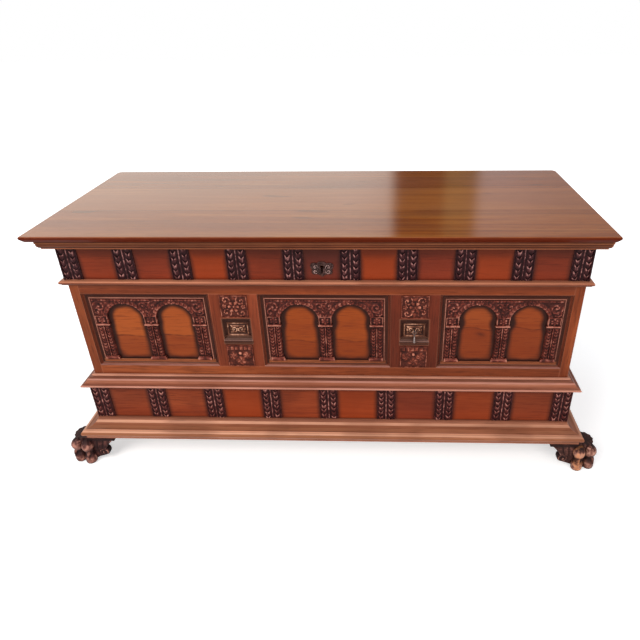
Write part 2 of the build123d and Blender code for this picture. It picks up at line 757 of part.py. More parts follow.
def carved_block(x, z_span):
    """Square block with a raised border and an eight-petalled rosette on a sunk ground."""
    inner_width = BLOCK_WIDTH - 2 * BLOCK_BORDER
    inner_height = length(z_span) - 2 * BLOCK_BORDER
    with BuildPart() as block:
        with BuildSketch(front_plane(case_front)):
            with Locations((x, middle(z_span))):
                Rectangle(BLOCK_WIDTH, length(z_span))
        extrude(amount=BLOCK_THICKNESS)
        with BuildSketch(front_plane(case_front - BLOCK_GROUND)):
            with Locations((x, middle(z_span))):
                Rectangle(inner_width, inner_height)
                with PolarLocations(ROSETTE_RADIUS, PETAL_COUNT):
                    Circle(PETAL_RADIUS, mode=Mode.SUBTRACT)
                Circle(BOSS_RADIUS, mode=Mode.SUBTRACT)
        extrude(amount=BLOCK_THICKNESS - BLOCK_GROUND, mode=Mode.SUBTRACT)
    return block.part


def build_blocks():
    """Blocks above and below both drawer recesses."""
    centres = (-MUNTIN_CENTRE, MUNTIN_CENTRE)
    save_group([carved_block(x, span) for x in centres for span in block_spans()], "carved_blocks")


def drawer_mouth():
    """x and z spans of the right-hand drawer's running hole."""
    _, z_hole = muntin_hole()
    reach = DRAWER_WIDTH / 2 + DRAWER_GAP
    foot = z_hole[0] + SURROUND_SILL
    return (MUNTIN_CENTRE - reach, MUNTIN_CENTRE + reach), (foot, foot + DRAWER_HEIGHT + DRAWER_GAP)


def build_surround():
    """Moulded frame that lines the recess, with a stepped sill below the drawer."""
    x_hole, z_hole = muntin_hole()
    x_mouth, z_mouth = drawer_mouth()
    brow_width = RECESS_WIDTH - 2 * SURROUND_FILLET
    brow_top = z_hole[1] - SURROUND_FILLET
    sill = z_hole[0]
    slope = SURROUND_LIP
    with BuildPart() as surround:
        add(board(x_hole, (case_front, frame_back), z_hole))
        with BuildSketch(front_plane(case_front)):
            with Locations((MUNTIN_CENTRE, (z_mouth[0] + brow_top) / 2)):
                Rectangle(brow_width, brow_top - z_mouth[0])
        with BuildSketch(front_plane(case_front + slope)):
            with Locations((MUNTIN_CENTRE, middle(z_mouth))):
                Rectangle(length(x_mouth), length(z_mouth))
        loft(mode=Mode.SUBTRACT)
        add(board(x_mouth, (case_front, frame_back), z_mouth), mode=Mode.SUBTRACT)
        with BuildSketch(side_plane(MUNTIN_CENTRE + brow_width / 2)):
            with BuildLine():
                shelf = sill + SILL_STEP + SILL_REED
                mouth = z_mouth[0]
                Polyline((1, shelf), (-SILL_SPLAY, shelf), (-slope, mouth), (1, mouth), (1, shelf))
            make_face()
        extrude(amount=brow_width, mode=Mode.SUBTRACT)
        with BuildSketch(side_plane(x_hole[1])):
            with Locations((0, sill)):
                Rectangle(SILL_PROUD, SILL_STEP, align=(Align.MIN, Align.MIN))
            with BuildLine():
                Line((0, shelf), (0, sill + SILL_STEP))
                SagittaArc((0, sill + SILL_STEP), (0, shelf), -SILL_REED_BULGE)
            make_face()
        extrude(amount=RECESS_WIDTH)
    save_pair(surround, "drawer_surround")


# ---------------------------------------------------------------- drawers
def drawer_levels():
    """Foot of the drawer, and front and back of its box."""
    _, z_mouth = drawer_mouth()
    front = case_front + DRAWER_SET + DRAWER_FRONT_THICKNESS
    return z_mouth[0] + DRAWER_SLIP, front, front + DRAWER_LENGTH


def drawer_front():
    """Cushion-shaped drawer front over a hollow and a small lip."""
    foot, _, _ = drawer_levels()
    top = foot + DRAWER_HEIGHT - DRAWER_SLIP
    ground = -DRAWER_SET
    back = ground - DRAWER_FRONT_THICKNESS
    lip = (ground + DRAWER_LIP, foot + DRAWER_LIP)
    cushion_foot = (ground + DRAWER_CUSHION_SET, lip[1] + DRAWER_HOLLOW)
    with BuildPart() as front:
        with BuildSketch(side_plane(MUNTIN_CENTRE + DRAWER_WIDTH / 2)):
            with BuildLine():
                Polyline((ground, top), (back, top), (back, foot), (lip[0], foot), lip)
                SagittaArc(lip, cushion_foot, DRAWER_HOLLOW_SAG)
                SagittaArc(cushion_foot, (ground, top), -DRAWER_BULGE)
            make_face()
        extrude(amount=DRAWER_WIDTH)
    return front.part


def drawer_box():
    """Sides, back and bottom of the right-hand drawer."""
    foot, front, back = drawer_levels()
    low, high = MUNTIN_CENTRE - DRAWER_WIDTH / 2, MUNTIN_CENTRE + DRAWER_WIDTH / 2
    rim = foot + DRAWER_HEIGHT - DRAWER_RIM_DROP
    inside = (low + DRAWER_WALL, high - DRAWER_WALL)
    return [
        board((low, low + DRAWER_WALL), (front, back), (foot, rim)),
        board((high - DRAWER_WALL, high), (front, back), (foot, rim)),
        board(inside, (back - DRAWER_WALL, back), (foot, rim)),
        board(inside, (front, back - DRAWER_WALL), (foot, foot + DRAWER_BOTTOM)),
    ]


def drawer_tunnel():
    """Housing of the right-hand drawer behind its muntin: roof, floor, two sides and an end stop."""
    x_mouth, z_mouth = drawer_mouth()
    _, _, drawer_back = drawer_levels()
    stop = drawer_back + TUNNEL_SPARE
    x_outer = (x_mouth[0] - TUNNEL_WALL, x_mouth[1] + TUNNEL_WALL)
    run = (frame_back, stop)
    return [
        board(x_outer, run, (z_mouth[1], z_mouth[1] + TUNNEL_WALL)),
        board(x_outer, run, (z_mouth[0] - TUNNEL_WALL, z_mouth[0])),
        board((x_outer[0], x_mouth[0]), run, z_mouth),
        board((x_mouth[1], x_outer[1]), run, z_mouth),
        board(
            x_outer,
            (stop, stop + TUNNEL_WALL),
            (z_mouth[0] - TUNNEL_WALL, z_mouth[1] + TUNNEL_WALL),
        ),
    ]


def build_drawers():
    """Both drawers and their tunnels; only the right-hand front is bored for a pull."""
    front = drawer_front()
    with BuildPart() as bored:
        add(front)
        add(pull_shank(EYE_WIRE), mode=Mode.SUBTRACT)
    save(bored, "drawer_front_right")
    save(mirrored(front), "drawer_front_left")
    for name, pieces in (("drawer_box", drawer_box()), ("drawer_tunnel", drawer_tunnel())):
        save_group(pieces, f"{name}_right")
        save_group([mirrored(piece).part for piece in pieces], f"{name}_left")


def eye_centre():
    """Middle of the pull's eye in front of the right-hand drawer."""
    foot, _, _ = drawer_levels()
    return Vector(MUNTIN_CENTRE, case_front - EYE_STAND, foot + EYE_RISE)


def pull_shank(radius):
    """Shank of the eye, from its ring back through the drawer front."""
    centre = eye_centre()
    tail = case_front + DRAWER_SET + SHANK_END
    with BuildPart() as shank:
        with BuildSketch(front_plane(tail)):
            with Locations((centre.X, centre.Z)):
                Circle(radius)
        extrude(amount=tail - (centre.Y + EYE_RADIUS))
    return shank.part


def build_pull():
    """Iron drop hanging by its ring from an eye."""
    centre = eye_centre()
    across = Plane(origin=centre, x_dir=(0, 1, 0), z_dir=(1, 0, 0))
    with BuildPart() as eye:
        with BuildSketch(Plane(origin=centre, x_dir=(0, 1, 0), z_dir=(0, 0, 1))):
            with Locations((EYE_RADIUS, 0)):
                Circle(EYE_WIRE)
        revolve(axis=Axis(centre, across.z_dir))
        add(pull_shank(EYE_WIRE))
    save(eye, "pull_eye")
    pivot = centre.Z - EYE_RADIUS + EYE_WIRE + LINK_GAP + PULL_WIRE
    hub = Vector(centre.X, centre.Y, pivot - PULL_RING_RADIUS)
    neck = hub.Z - PULL_RING_RADIUS
    with BuildPart() as ring:
        with BuildSketch(Plane(origin=hub, x_dir=(1, 0, 0), z_dir=(0, 0, 1))):
            with Locations((PULL_RING_RADIUS, 0)):
                Circle(PULL_WIRE)
        revolve(axis=Axis(hub, (0, 1, 0)))
    with BuildPart() as pull:
        with BuildSketch(Plane(origin=(hub.X, hub.Y, neck), x_dir=(1, 0, 0), z_dir=(0, -1, 0))):
            with BuildLine():
                ball = PULL_RADIUS - PULL_DROP
                Polyline((0, -PULL_DROP), (0, 0), (PULL_NECK, 0))
                SagittaArc((PULL_NECK, 0), (PULL_RADIUS, ball), -PULL_BEND)
                CenterArc((0, ball), PULL_RADIUS, 0, -90)
            make_face()
        revolve(axis=Axis(hub, (0, 0, 1)))
        add(ring.part)
    save(pull, "drop_pull")
    print("pull pivot (mm)", round(centre.X, 3), round(centre.Y, 3), round(pivot, 3))


# ---------------------------------------------------------------- lid, hinges and lock
def pin_place():
    """y and z of the hinge pins."""
    return case_back + KNUCKLE_SET, z_lid


def hinge_cylinder(side, radius, x_span):
    """Cylinder on the hinge line of one hinge, between two distances from the hinge's middle."""
    y, z = pin_place()
    start = side * HINGE_CENTRE + x_span[0]
    with BuildPart() as barrel:
        with BuildSketch(Plane(origin=(start, y, z), x_dir=(0, 1, 0), z_dir=(1, 0, 0))):
            Circle(radius)
        extrude(amount=length(x_span))
    return barrel.part


def hinge_span(side, reach=HINGE_LENGTH / 2):
    """x span of a hinge, or of its middle part when given half of that part's length."""
    return (side * HINGE_CENTRE - reach, side * HINGE_CENTRE + reach)


def hinge_seat(side):
    """Sinking for the case leaf in the top edge of the back."""
    return board(hinge_span(side), (case_back - HINGE_LEAF_REACH, case_back), (z_lid - HINGE_LEAF, z_lid))


def case_leaf(side):
    """Lower leaf with two knuckles and the pin riveted through them."""
    pin_y, _ = pin_place()
    half, third = HINGE_LENGTH / 2, HINGE_LENGTH / 6
    edge = pin_y - KNUCKLE_RADIUS - KNUCKLE_GAP
    with BuildPart() as leaf:
        add(board(hinge_span(side), (case_back - HINGE_LEAF_REACH, pin_y), (z_lid - HINGE_LEAF, z_lid)))
        add(hinge_cylinder(side, KNUCKLE_RADIUS, (-half, half)))
        middle_part = hinge_span(side, third + KNUCKLE_GAP)
        tall = (z_lid - 2 * KNUCKLE_RADIUS, z_lid + 2 * KNUCKLE_RADIUS)
        add(board(middle_part, (edge, pin_y + 2 * KNUCKLE_RADIUS), tall), mode=Mode.SUBTRACT)
        add(hinge_cylinder(side, PIN_RADIUS, (-half, half)))
    return leaf.part


def lid_leaf(side):
    """Upper leaf, a strap let into the lid, with the middle knuckle running on the pin."""
    pin_y, _ = pin_place()
    third = HINGE_LENGTH / 6
    edge = pin_y - KNUCKLE_RADIUS - KNUCKLE_GAP
    rise = (z_lid, z_lid + HINGE_LEAF)
    with BuildPart() as leaf:
        add(board(hinge_span(side), (pin_y - HINGE_STRAP_REACH, edge), rise))
        add(board(hinge_span(side, third), (edge, pin_y), rise))
        add(hinge_cylinder(side, KNUCKLE_RADIUS, (-third, third)))
        add(hinge_cylinder(side, PIN_RADIUS + PIN_CLEARANCE, (-third, third)), mode=Mode.SUBTRACT)
    return leaf.part


def build_hinges():
    """Two strap hinges along the back."""
    save_group([case_leaf(side) for side in SIDES.values()], "hinge_case_leaves")
    save_group([lid_leaf(side) for side in SIDES.values()], "hinge_lid_leaves")


def lid_outline(inset):
    """Plan of the lid, drawn in all round by inset, with round rear corners."""
    centre = (middle((lid_left, lid_right)), middle((lid_front, lid_back)))
    with BuildSketch(mode=Mode.PRIVATE) as outline:
        with Locations(centre):
            Rectangle(lid_right - lid_left - 2 * inset, LID_DEPTH - 2 * inset)
        fillet(outline.vertices().group_by(Axis.Y)[0], LID_FRONT_CORNER)
        fillet(outline.vertices().group_by(Axis.Y)[-1], LID_REAR_CORNER - inset)
    return outline.sketch


def build_lid():
    """Lid board with an undercut nose, cut out for its hinges, and the battens that keep it flat."""
    pin_y, _ = pin_place()
    with BuildPart() as lid:
        with BuildSketch(Plane.XY.offset(z_lid)):
            add(lid_outline(LID_UNDERCUT))
        with BuildSketch(Plane.XY.offset(z_nose)):
            add(lid_outline(0))
        loft(ruled=True)
        with BuildSketch(Plane.XY.offset(z_nose)):
            add(lid_outline(0))
        extrude(amount=LID_THICKNESS - LID_UNDERCUT_HEIGHT)
        nose = lid.edges().filter_by_position(Axis.Z, z_nose, z_nose)
        fillet(nose, LID_NOSE_ROUND)
        fillet(lid.faces().sort_by(Axis.Z)[-1].edges(), LID_TOP_ROUND)
        for side in SIDES.values():
            span = hinge_span(side)
            strap = (pin_y - HINGE_STRAP_REACH, pin_y)
            add(board(span, strap, (z_lid, z_lid + HINGE_LEAF)), mode=Mode.SUBTRACT)
            pocket = hinge_span(side, HINGE_LENGTH / 2 + KNUCKLE_GAP)
            room = KNUCKLE_RADIUS + KNUCKLE_GAP
            add(board(pocket, (pin_y - room, lid_back), (z_lid, z_lid + room)), mode=Mode.SUBTRACT)
    save(lid, "lid_board")
    outer = inner_half - BATTEN_GAP
    run = (frame_back + BATTEN_GAP, inner_back - BATTEN_BACK_GAP)
    drop = (z_lid - BATTEN_THICKNESS, z_lid)
    with BuildPart() as batten:
        add(board((outer - BATTEN_WIDTH, outer), run, drop))
        chamfer(batten.faces().sort_by(Axis.Z)[0].edges().filter_by(Axis.Y), 2 * ARRIS)
    save_group([mirrored(batten.part).part, batten.part], "lid_battens")


def lock_place():
    """Middle depth of the lock's works and the level of the lock case's top."""
    return frame_back + LOCK_DEPTH / 2, z_lid - LOCK_DROP


def bolt_span():
    """z span of the bolt."""
    _, top = lock_place()
    return (top - BOLT_DROP - BOLT_HEIGHT, top - BOLT_DROP)


def staple_foot():
    """Lowest point of the lid's staple."""
    return bolt_span()[0] - STAPLE_SPARE - STAPLE_WIRE


def build_lock():
    """Lock case behind the frieze, its sliding bolt, and the staple under the lid."""
    y, top = lock_place()
    low, high = bolt_span()
    slot_x = STAPLE_THICKNESS / 2 + STAPLE_SIDE_GAP
    loop_y = BOLT_THICKNESS / 2 + STAPLE_SPARE + STAPLE_WIRE
    slot_y = loop_y + STAPLE_CLEARANCE
    bolt_tip = -slot_x
    with BuildPart() as case:
        add(
            board(
                (-LOCK_WIDTH / 2, LOCK_WIDTH / 2),
                (frame_back, frame_back + LOCK_DEPTH),
                (top - LOCK_HEIGHT, top),
            )
        )
        chamfer(case.faces().sort_by(Axis.Y)[-1].edges(), ARRIS)
        well = (staple_foot() - STAPLE_CLEARANCE, top)
        add(board((-slot_x, slot_x), (y - slot_y, y + slot_y), well), mode=Mode.SUBTRACT)
        add(
            board(
                (bolt_tip - BOLT_LENGTH - BOLT_GAP, bolt_tip + BOLT_TRAVEL + BOLT_GAP),
                (y - BOLT_THICKNESS / 2 - BOLT_GAP, y + BOLT_THICKNESS / 2 + BOLT_GAP),
                (low - BOLT_GAP, high + BOLT_GAP),
            ),
            mode=Mode.SUBTRACT,
        )
        add(keyhole_cut(frame_back, y), mode=Mode.SUBTRACT)
    save(case, "lock_case")
    with BuildPart() as bolt:
        add(
            board(
                (bolt_tip - BOLT_LENGTH, bolt_tip),
                (y - BOLT_THICKNESS / 2, y + BOLT_THICKNESS / 2),
                (low, high),
            )
        )
    save(bolt, "lock_bolt")
    with BuildPart() as staple:
        plate = (z_lid - STAPLE_PLATE, z_lid)
        add(board((-STAPLE_WIDTH / 2, STAPLE_WIDTH / 2), (y - loop_y, y + loop_y), plate))
        half = STAPLE_THICKNESS / 2
        add(board((-half, half), (y - loop_y, y + loop_y), (staple_foot(), z_lid)))
        fillet(staple.edges().filter_by(Axis.X).group_by(Axis.Z)[0], STAPLE_WIRE / 2)
        eye_y = BOLT_THICKNESS / 2 + STAPLE_SPARE
        hole = (low - STAPLE_SPARE, high + STAPLE_SPARE)
        add(board((-half, half), (y - eye_y, y + eye_y), hole), mode=Mode.SUBTRACT)
    save(staple, "lid_staple")


def build_escutcheon():
    """Iron keyhole plate with a scalloped outline."""
    seat = Plane(origin=(0, case_front, keyhole_height()), x_dir=(1, 0, 0), z_dir=(0, -1, 0))
    start = (0, ESCUTCHEON_HEIGHT / 2)
    with BuildPart() as plate:
        with BuildSketch(seat):
            with BuildLine():
                for part_x, part_y, bulge in ESCUTCHEON_OUTLINE:
                    end = (part_x * ESCUTCHEON_WIDTH / 2, part_y * ESCUTCHEON_HEIGHT / 2)
                    SagittaArc(start, end, bulge)
                    start = end
                mirror(about=Plane.YZ)
            make_face()
        extrude(amount=ESCUTCHEON_THICKNESS)
        add(keyhole_cut(case_front - 2 * ESCUTCHEON_THICKNESS, case_front), mode=Mode.SUBTRACT)
    save(plate, "keyhole_escutcheon")


# ---------------------------------------------------------------- feet
def wing(plane):
    """Carved bracket beside a paw: local X runs from the wing's tip towards the paw, local Y is up."""
    tip = (0, FOOT_HEIGHT - WING_TIP)
    scroll_top = (WING_SCROLL, WING_SCROLL_TOP)
    scroll_foot = (WING_SCROLL, WING_SCROLL_FOOT)
    heel = (WING_LENGTH, WING_HEEL)
    with BuildPart() as bracket:
        with BuildSketch(plane):
            with BuildLine():
                Polyline(heel, (WING_LENGTH, FOOT_HEIGHT), (0, FOOT_HEIGHT), tip)
                SagittaArc(tip, scroll_top, WING_HOLLOW)
                SagittaArc(scroll_top, scroll_foot, -WING_SCROLL_BULGE)
                SagittaArc(scroll_foot, heel, -WING_HOLLOW)
            make_face()
        extrude(amount=WING_THICKNESS)
    return bracket.part


def toe(x, y):
    """One toe turned about an upright axis: round-shouldered pad, neck and ball-shaped knuckle."""
    neck = TOE_KNUCKLE_HEIGHT - (TOE_RADIUS**2 - TOE_NECK_RADIUS**2) ** 0.5
    crown = (0, TOE_KNUCKLE_HEIGHT + TOE_RADIUS)
    sole = TOE_PAD_RADIUS - TOE_SOLE_ROUND
    shoulder = (TOE_PAD_RADIUS, TOE_PAD_SHOULDER)
    pad_top = (TOE_NECK_RADIUS, TOE_PAD_HEIGHT)
    with BuildPart() as piece:
        with BuildSketch(Plane(origin=(x, y, 0), x_dir=(1, 0, 0), z_dir=(0, -1, 0))):
            with BuildLine():
                Polyline(crown, (0, 0), (sole, 0))
                CenterArc((sole, TOE_SOLE_ROUND), TOE_SOLE_ROUND, -90, 90)
                Line((TOE_PAD_RADIUS, TOE_SOLE_ROUND), shoulder)
                TangentArc(shoulder, pad_top, tangent=(0, 1))
                Line(pad_top, (TOE_NECK_RADIUS, neck))
                ThreePointArc((TOE_NECK_RADIUS, neck), (TOE_RADIUS, TOE_KNUCKLE_HEIGHT), crown)
            make_face()
        revolve(axis=Axis((x, y, 0), (0, 0, 1)))
    return piece.part


def build_paw():
    """Lion paw under the right front corner: toes, heel, ankle beside the moulding and two brackets."""
    toe_x = toe_side - TOE_RADIUS
    toe_y = toe_front + TOE_RADIUS
    toes = (
        (toe_x - TOE_PITCH, toe_y),
        (toe_x, toe_y + TOE_STAGGER),
        (toe_x - TOE_STAGGER / 2, toe_y + TOE_STAGGER + TOE_PITCH),
    )
    moulding_end = case_half + BASE_TORUS_OUTSET + PAW_GAP
    moulding_front = case_front - BASE_TORUS_OUTSET - PAW_GAP
    plate_end = moulding_end - PAW_GAP - WING_SET
    plate_front = moulding_front + PAW_GAP + WING_SET
    front_wing = Plane(
        origin=(toe_side - WING_REACH, plate_front + WING_THICKNESS, 0), x_dir=(1, 0, 0), z_dir=(0, -1, 0)
    )
    end_wing = Plane(origin=(plate_end, toe_front + WING_REACH, 0), x_dir=(0, -1, 0), z_dir=(-1, 0, 0))
    with BuildPart() as paw:
        with BuildSketch():
            with Locations((toe_x - HEEL_SET_X, toe_y + HEEL_SET_Y)):
                Circle(HEEL_RADIUS)
        extrude(amount=z_case)
        for x, y in toes:
            add(toe(x, y))
        with Locations((moulding_end + ANKLE_SET, toe_y + TOE_PITCH, z_case + PAW_HUMP - ANKLE_RADIUS)):
            Sphere(ANKLE_RADIUS)
        add(wing(front_wing))
        add(wing(end_wing))
        plate = (z_case - FOOT_PLATE, z_case)
        inset = FOOT_PLATE_INSET
        add(board((case_half - inset, plate_end), (plate_front, case_front + inset), plate))
        above = (z_case, z_case + 2 * ANKLE_RADIUS)
        add(board((0, moulding_end), (moulding_front, case_back), above), mode=Mode.SUBTRACT)
    save_pair(paw, "paw_foot")


def build_rear_feet():
    """Plain tapered blocks under the rear corners."""
    edge = case_half + BASE_FOOT_OUTSET - REAR_FOOT_SET
    centre = (edge - REAR_FOOT_WIDTH / 2, case_back - REAR_FOOT_WIDTH / 2)
    foot_width = REAR_FOOT_WIDTH - 2 * REAR_FOOT_TAPER
    with BuildPart() as foot:
        with BuildSketch(Plane.XY.offset(z_case)):
            with Locations(centre):
                Rectangle(REAR_FOOT_WIDTH, REAR_FOOT_WIDTH)
        with BuildSketch():
            with Locations(centre):
                Rectangle(foot_width, foot_width)
        loft()
        chamfer(foot.faces().sort_by(Axis.Z)[0].edges(), ARRIS)
    save_group([mirrored(foot.part).part, foot.part], "rear_feet")


# ---------------------------------------------------------------- everything
build_stile()
build_rails()
build_muntin()
build_carcass()
build_plinth()
for panel_name, panel_opening in panel_openings().items():
    build_panel(panel_name, panel_opening)
    build_panel_moulding(panel_name, panel_opening)
    build_arcade(panel_name, panel_opening)
save_moulding(lid_moulding_section, "lid_moulding", lid_back)
save_moulding(astragal_section, "astragal", case_back)
save_moulding(waist_section, "waist_moulding", case_back)
save_moulding(base_section, "base_moulding", case_back)
bar_top = z_lid_moulding - BAR_TOP_GAP
build_bars("upper_frieze_bars", case_half, case_front, UPPER_BAR_COUNT, (z_upper_frieze, bar_top))
build_bars("lower_frieze_bars", facing_half, facing_front, LOWER_BAR_COUNT, (z_lower_frieze, z_waist))
build_blocks()
build_surround()
build_drawers()
build_pull()
build_hinges()
build_lid()
build_lock()
build_escutcheon()
build_paw()
build_rear_feet()
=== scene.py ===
"""A carved walnut chest with an arcaded front, two small drawers and lion-paw feet.

Lengths in the tables and functions are millimetres, and shader functions and finished meshes take metres.
Tones are screen values from 0 to 255.
"""

import itertools
import math

import bpy
import numpy as np
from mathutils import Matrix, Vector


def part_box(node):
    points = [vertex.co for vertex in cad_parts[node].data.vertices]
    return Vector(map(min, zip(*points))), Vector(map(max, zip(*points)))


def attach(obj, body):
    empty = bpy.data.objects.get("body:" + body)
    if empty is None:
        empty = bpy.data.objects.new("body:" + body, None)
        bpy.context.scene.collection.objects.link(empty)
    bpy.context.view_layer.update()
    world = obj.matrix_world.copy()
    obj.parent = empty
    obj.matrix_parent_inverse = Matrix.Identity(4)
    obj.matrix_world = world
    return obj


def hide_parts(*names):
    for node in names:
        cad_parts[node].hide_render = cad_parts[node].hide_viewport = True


MM = 0.001

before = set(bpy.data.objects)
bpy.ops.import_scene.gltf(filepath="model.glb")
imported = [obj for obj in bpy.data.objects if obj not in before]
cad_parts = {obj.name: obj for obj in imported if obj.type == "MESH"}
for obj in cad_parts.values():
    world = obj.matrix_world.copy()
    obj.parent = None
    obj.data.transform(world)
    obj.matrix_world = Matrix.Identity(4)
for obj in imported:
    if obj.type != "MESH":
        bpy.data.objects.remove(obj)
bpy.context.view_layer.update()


# ---------------------------------------------------------------- places taken from the joiner's pieces
def edges_of(node, axis):
    """Lowest and highest millimetre of a joiner's piece along axis 0, 1 or 2."""
    return [round(corner[axis] / MM, 2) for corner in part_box(node)]


def middle_and_half(node, axis):
    """Middle of a joiner's piece along an axis, and half its length."""
    low, high = edges_of(node, axis)
    return (low + high) / 2, (high - low) / 2


CASE_HALF = edges_of("stile_right", 0)[1]
CASE_FRONT = edges_of("top_rail", 1)[0]
FACING_HALF = edges_of("lower_frieze_front", 0)[1]
FACING_FRONT = edges_of("lower_frieze_front", 1)[0]
LID_UNDERSIDE, LID_TOP = edges_of("lid_board", 2)
LID_NOSE_TOP = LID_TOP - 0.2
LID_NOSE_FOOT = LID_TOP - 2.4
BOARD_SEAMS = (118.0, -95.0)

BAR_WIDTH = 54.0
BAR_STAND = 5.0
UPPER_BARS = (10, CASE_HALF, CASE_FRONT, *edges_of("upper_frieze_bars", 2))
LOWER_BARS = (9, FACING_HALF, FACING_FRONT, *edges_of("lower_frieze_bars", 2))

PANEL_FACE = edges_of("panel_centre", 1)[0]
PANEL_FOOT, PANEL_TOP = edges_of("panel_moulding_centre", 2)
PANEL_MIDDLE = (PANEL_FOOT + PANEL_TOP) / 2
PANEL_REACH = (PANEL_TOP - PANEL_FOOT) / 2

ARCADE_FOOT, ARCADE_TOP = edges_of("arcade_centre", 2)
ARCADE_HEIGHT = ARCADE_TOP - ARCADE_FOOT
SHAFT_WIDTH = 36.0
COLUMN_BASE = 11.0
CAPITAL_RISE = 119.0
CAPITAL_HEIGHT = 27.0
CAPITAL_TOP = CAPITAL_RISE + CAPITAL_HEIGHT
ABACUS_HEIGHT = 3.5
ABACUS_STAND = 9.4
ABACUS_SPREAD = 3.0
CROWN_RISE = 184.0

MUNTIN_MIDDLE = middle_and_half("muntin_right", 0)[0]
BLOCK_WIDTH = 76.0
UPPER_BLOCK = (497.0, 566.0)
LOWER_BLOCK = (333.0, 405.0)
BLOCK_STAND = 4.9
BLOCK_BORDER = 2.6

DRAWER_MIDDLE, DRAWER_REACH = middle_and_half("drawer_front_right", 2)
DRAWER_HALF_WIDTH = middle_and_half("drawer_front_right", 0)[1]
DRAWER_GROUND = CASE_FRONT + 11.0
DRAWER_STAND = 6.0

KEYHOLE_PLATE_HALF = 22.0
KEYHOLE_MIDDLE = edges_of("keyhole_escutcheon", 2)[0] + KEYHOLE_PLATE_HALF


# ---------------------------------------------------------------- tones
# Dark tone of the pores, also used for painted shade in the quirks.
SOOT_AND_SHADE = (34, 12, 12)
# Painted shade in the quirks of the mouldings.
QUIRK_PAINTED_SHADE = (40, 16, 13)
# Painted shade beside the frieze bars and under the overhang.
BAR_PAINTED_SHADE = (42, 14, 14)
BAY_ORANGE = (130, 46, 11)
BAY_RED = (92, 30, 22)
# Painted light added towards the foot of each frieze board.
BAY_FOOT_PAINTED_LIGHT = (60, 18, 6)
RUBBED = (200, 124, 92)
WARM_SHINE = (1.0, 0.56, 0.4, 1.0)
ROSE_SHINE = (1.0, 0.66, 0.62, 1.0)

RED_BROWN = ((96, 40, 20), (132, 60, 30), (156, 80, 44))
ORANGE_BROWN = ((96, 42, 22), (130, 61, 32), (158, 84, 47))
DEEP_RED = ((86, 30, 16), (112, 39, 19), (132, 50, 25))
PLINTH_RED = ((88, 33, 18), (126, 52, 25), (144, 66, 34))
KEYHOLE_DARK = ((40, 18, 17), (56, 27, 25), (70, 36, 32))
LEFT_MUNTIN_TONES = ((94, 38, 21), (128, 54, 31), (148, 72, 44))
RIGHT_MUNTIN_TONES = ((70, 24, 14), (96, 35, 21), (114, 49, 30))
RAIL_TONES = ((112, 60, 42), (152, 92, 70), (182, 124, 100))
LIP_TONES = ((56, 23, 14), (90, 41, 24), (116, 60, 35))
PLINTH_TONES = ((108, 62, 44), (146, 90, 66), (172, 114, 88))
RETURN_TONES = ((104, 56, 40), (140, 82, 60), (168, 108, 84))
# Dark tones of the drawer surround: painted shade in the recess round the drawers.
SURROUND_PAINTED_SHADE_TONES = ((34, 15, 12), (56, 28, 21), (92, 54, 42))
REAR_FOOT_TONES = ((58, 32, 22), (86, 50, 34), (108, 68, 48))
LID_TONES = ((120, 58, 22), (148, 79, 32), (168, 102, 48))
LID_UNDERSIDE_TONES = ((70, 34, 22), (98, 52, 32), (122, 72, 46))
# Painted shade on the lid's downward-facing nose.
LID_NOSE_PAINTED_SHADE = (84, 27, 13)
MIDDLE_BOARD_TONE = (176, 112, 66)
KNOT_TONE = (78, 36, 22)
SEAM_TONE = (60, 28, 20)
RAW_TONES = ((104, 74, 50), (132, 98, 68), (156, 120, 86))
FIELD_ORANGE = (124, 50, 19)
FIELD_RED = (112, 42, 18)
WORN_GILT = (206, 132, 78)
RUST = (92, 58, 44)

# Painted light on the mouldings, as level bands: the pale lines are painted highlights on fillets and beads,
# and the dark ones are painted shade in the quirks and painted shadow under the astragal. Foot and top in
# millimetres from the floor, tone, and share of the tone.
ASTRAGAL_PAINTED_LIGHT = (
    (599, 604, QUIRK_PAINTED_SHADE, 0.8),
    (604.5, 609, (112, 56, 38), 0.6),
    (609.8, 613.5, (184, 120, 90), 0.8),
)
RAIL_PAINTED_SHADOW = ((585, 602, (74, 32, 25), 0.6), (579, 584, (96, 42, 30), 0.35))
WAIST_PAINTED_LIGHT = (
    (270, 277.4, (196, 138, 120), 0.85),
    (278.4, 280, (110, 62, 48), 0.6),
    (281, 287, (144, 82, 58), 0.7),
    (288, 291.6, (178, 124, 110), 0.8),
    (292.4, 293.8, (74, 42, 36), 0.65),
    (294.6, 302, (200, 142, 118), 0.85),
)
LID_MOULDING_PAINTED_LIGHT = (
    (735.5, 740, QUIRK_PAINTED_SHADE, 0.85),
    (728.6, 730.6, (168, 104, 60), 0.6),
    (726.4, 728, QUIRK_PAINTED_SHADE, 0.7),
    (722.5, 724, (140, 84, 50), 0.4),
    (717, 718.8, QUIRK_PAINTED_SHADE, 0.75),
    (711, 715.4, (150, 88, 54), 0.55),
)
SILL_PAINTED_LIGHT = (
    (408, 410.5, (140, 88, 70), 0.7),
    (416, 418, QUIRK_PAINTED_SHADE, 0.7),
    (419.4, 424.2, (136, 104, 96), 0.7),
)
BASE_PAINTED_LIGHT = (
    (91, 97, (158, 104, 84), 0.85),
    (97.6, 110, (188, 130, 106), 0.85),
    (111, 118.4, (144, 90, 60), 0.85),
    (120.6, 124.6, (218, 162, 132), 0.95),
    (126, 128.4, (156, 100, 70), 0.7),
    (129.4, 133.4, (132, 74, 48), 0.6),
    (134.6, 139.8, (206, 150, 122), 0.85),
    (142.5, 152, (118, 72, 56), 0.7),
)

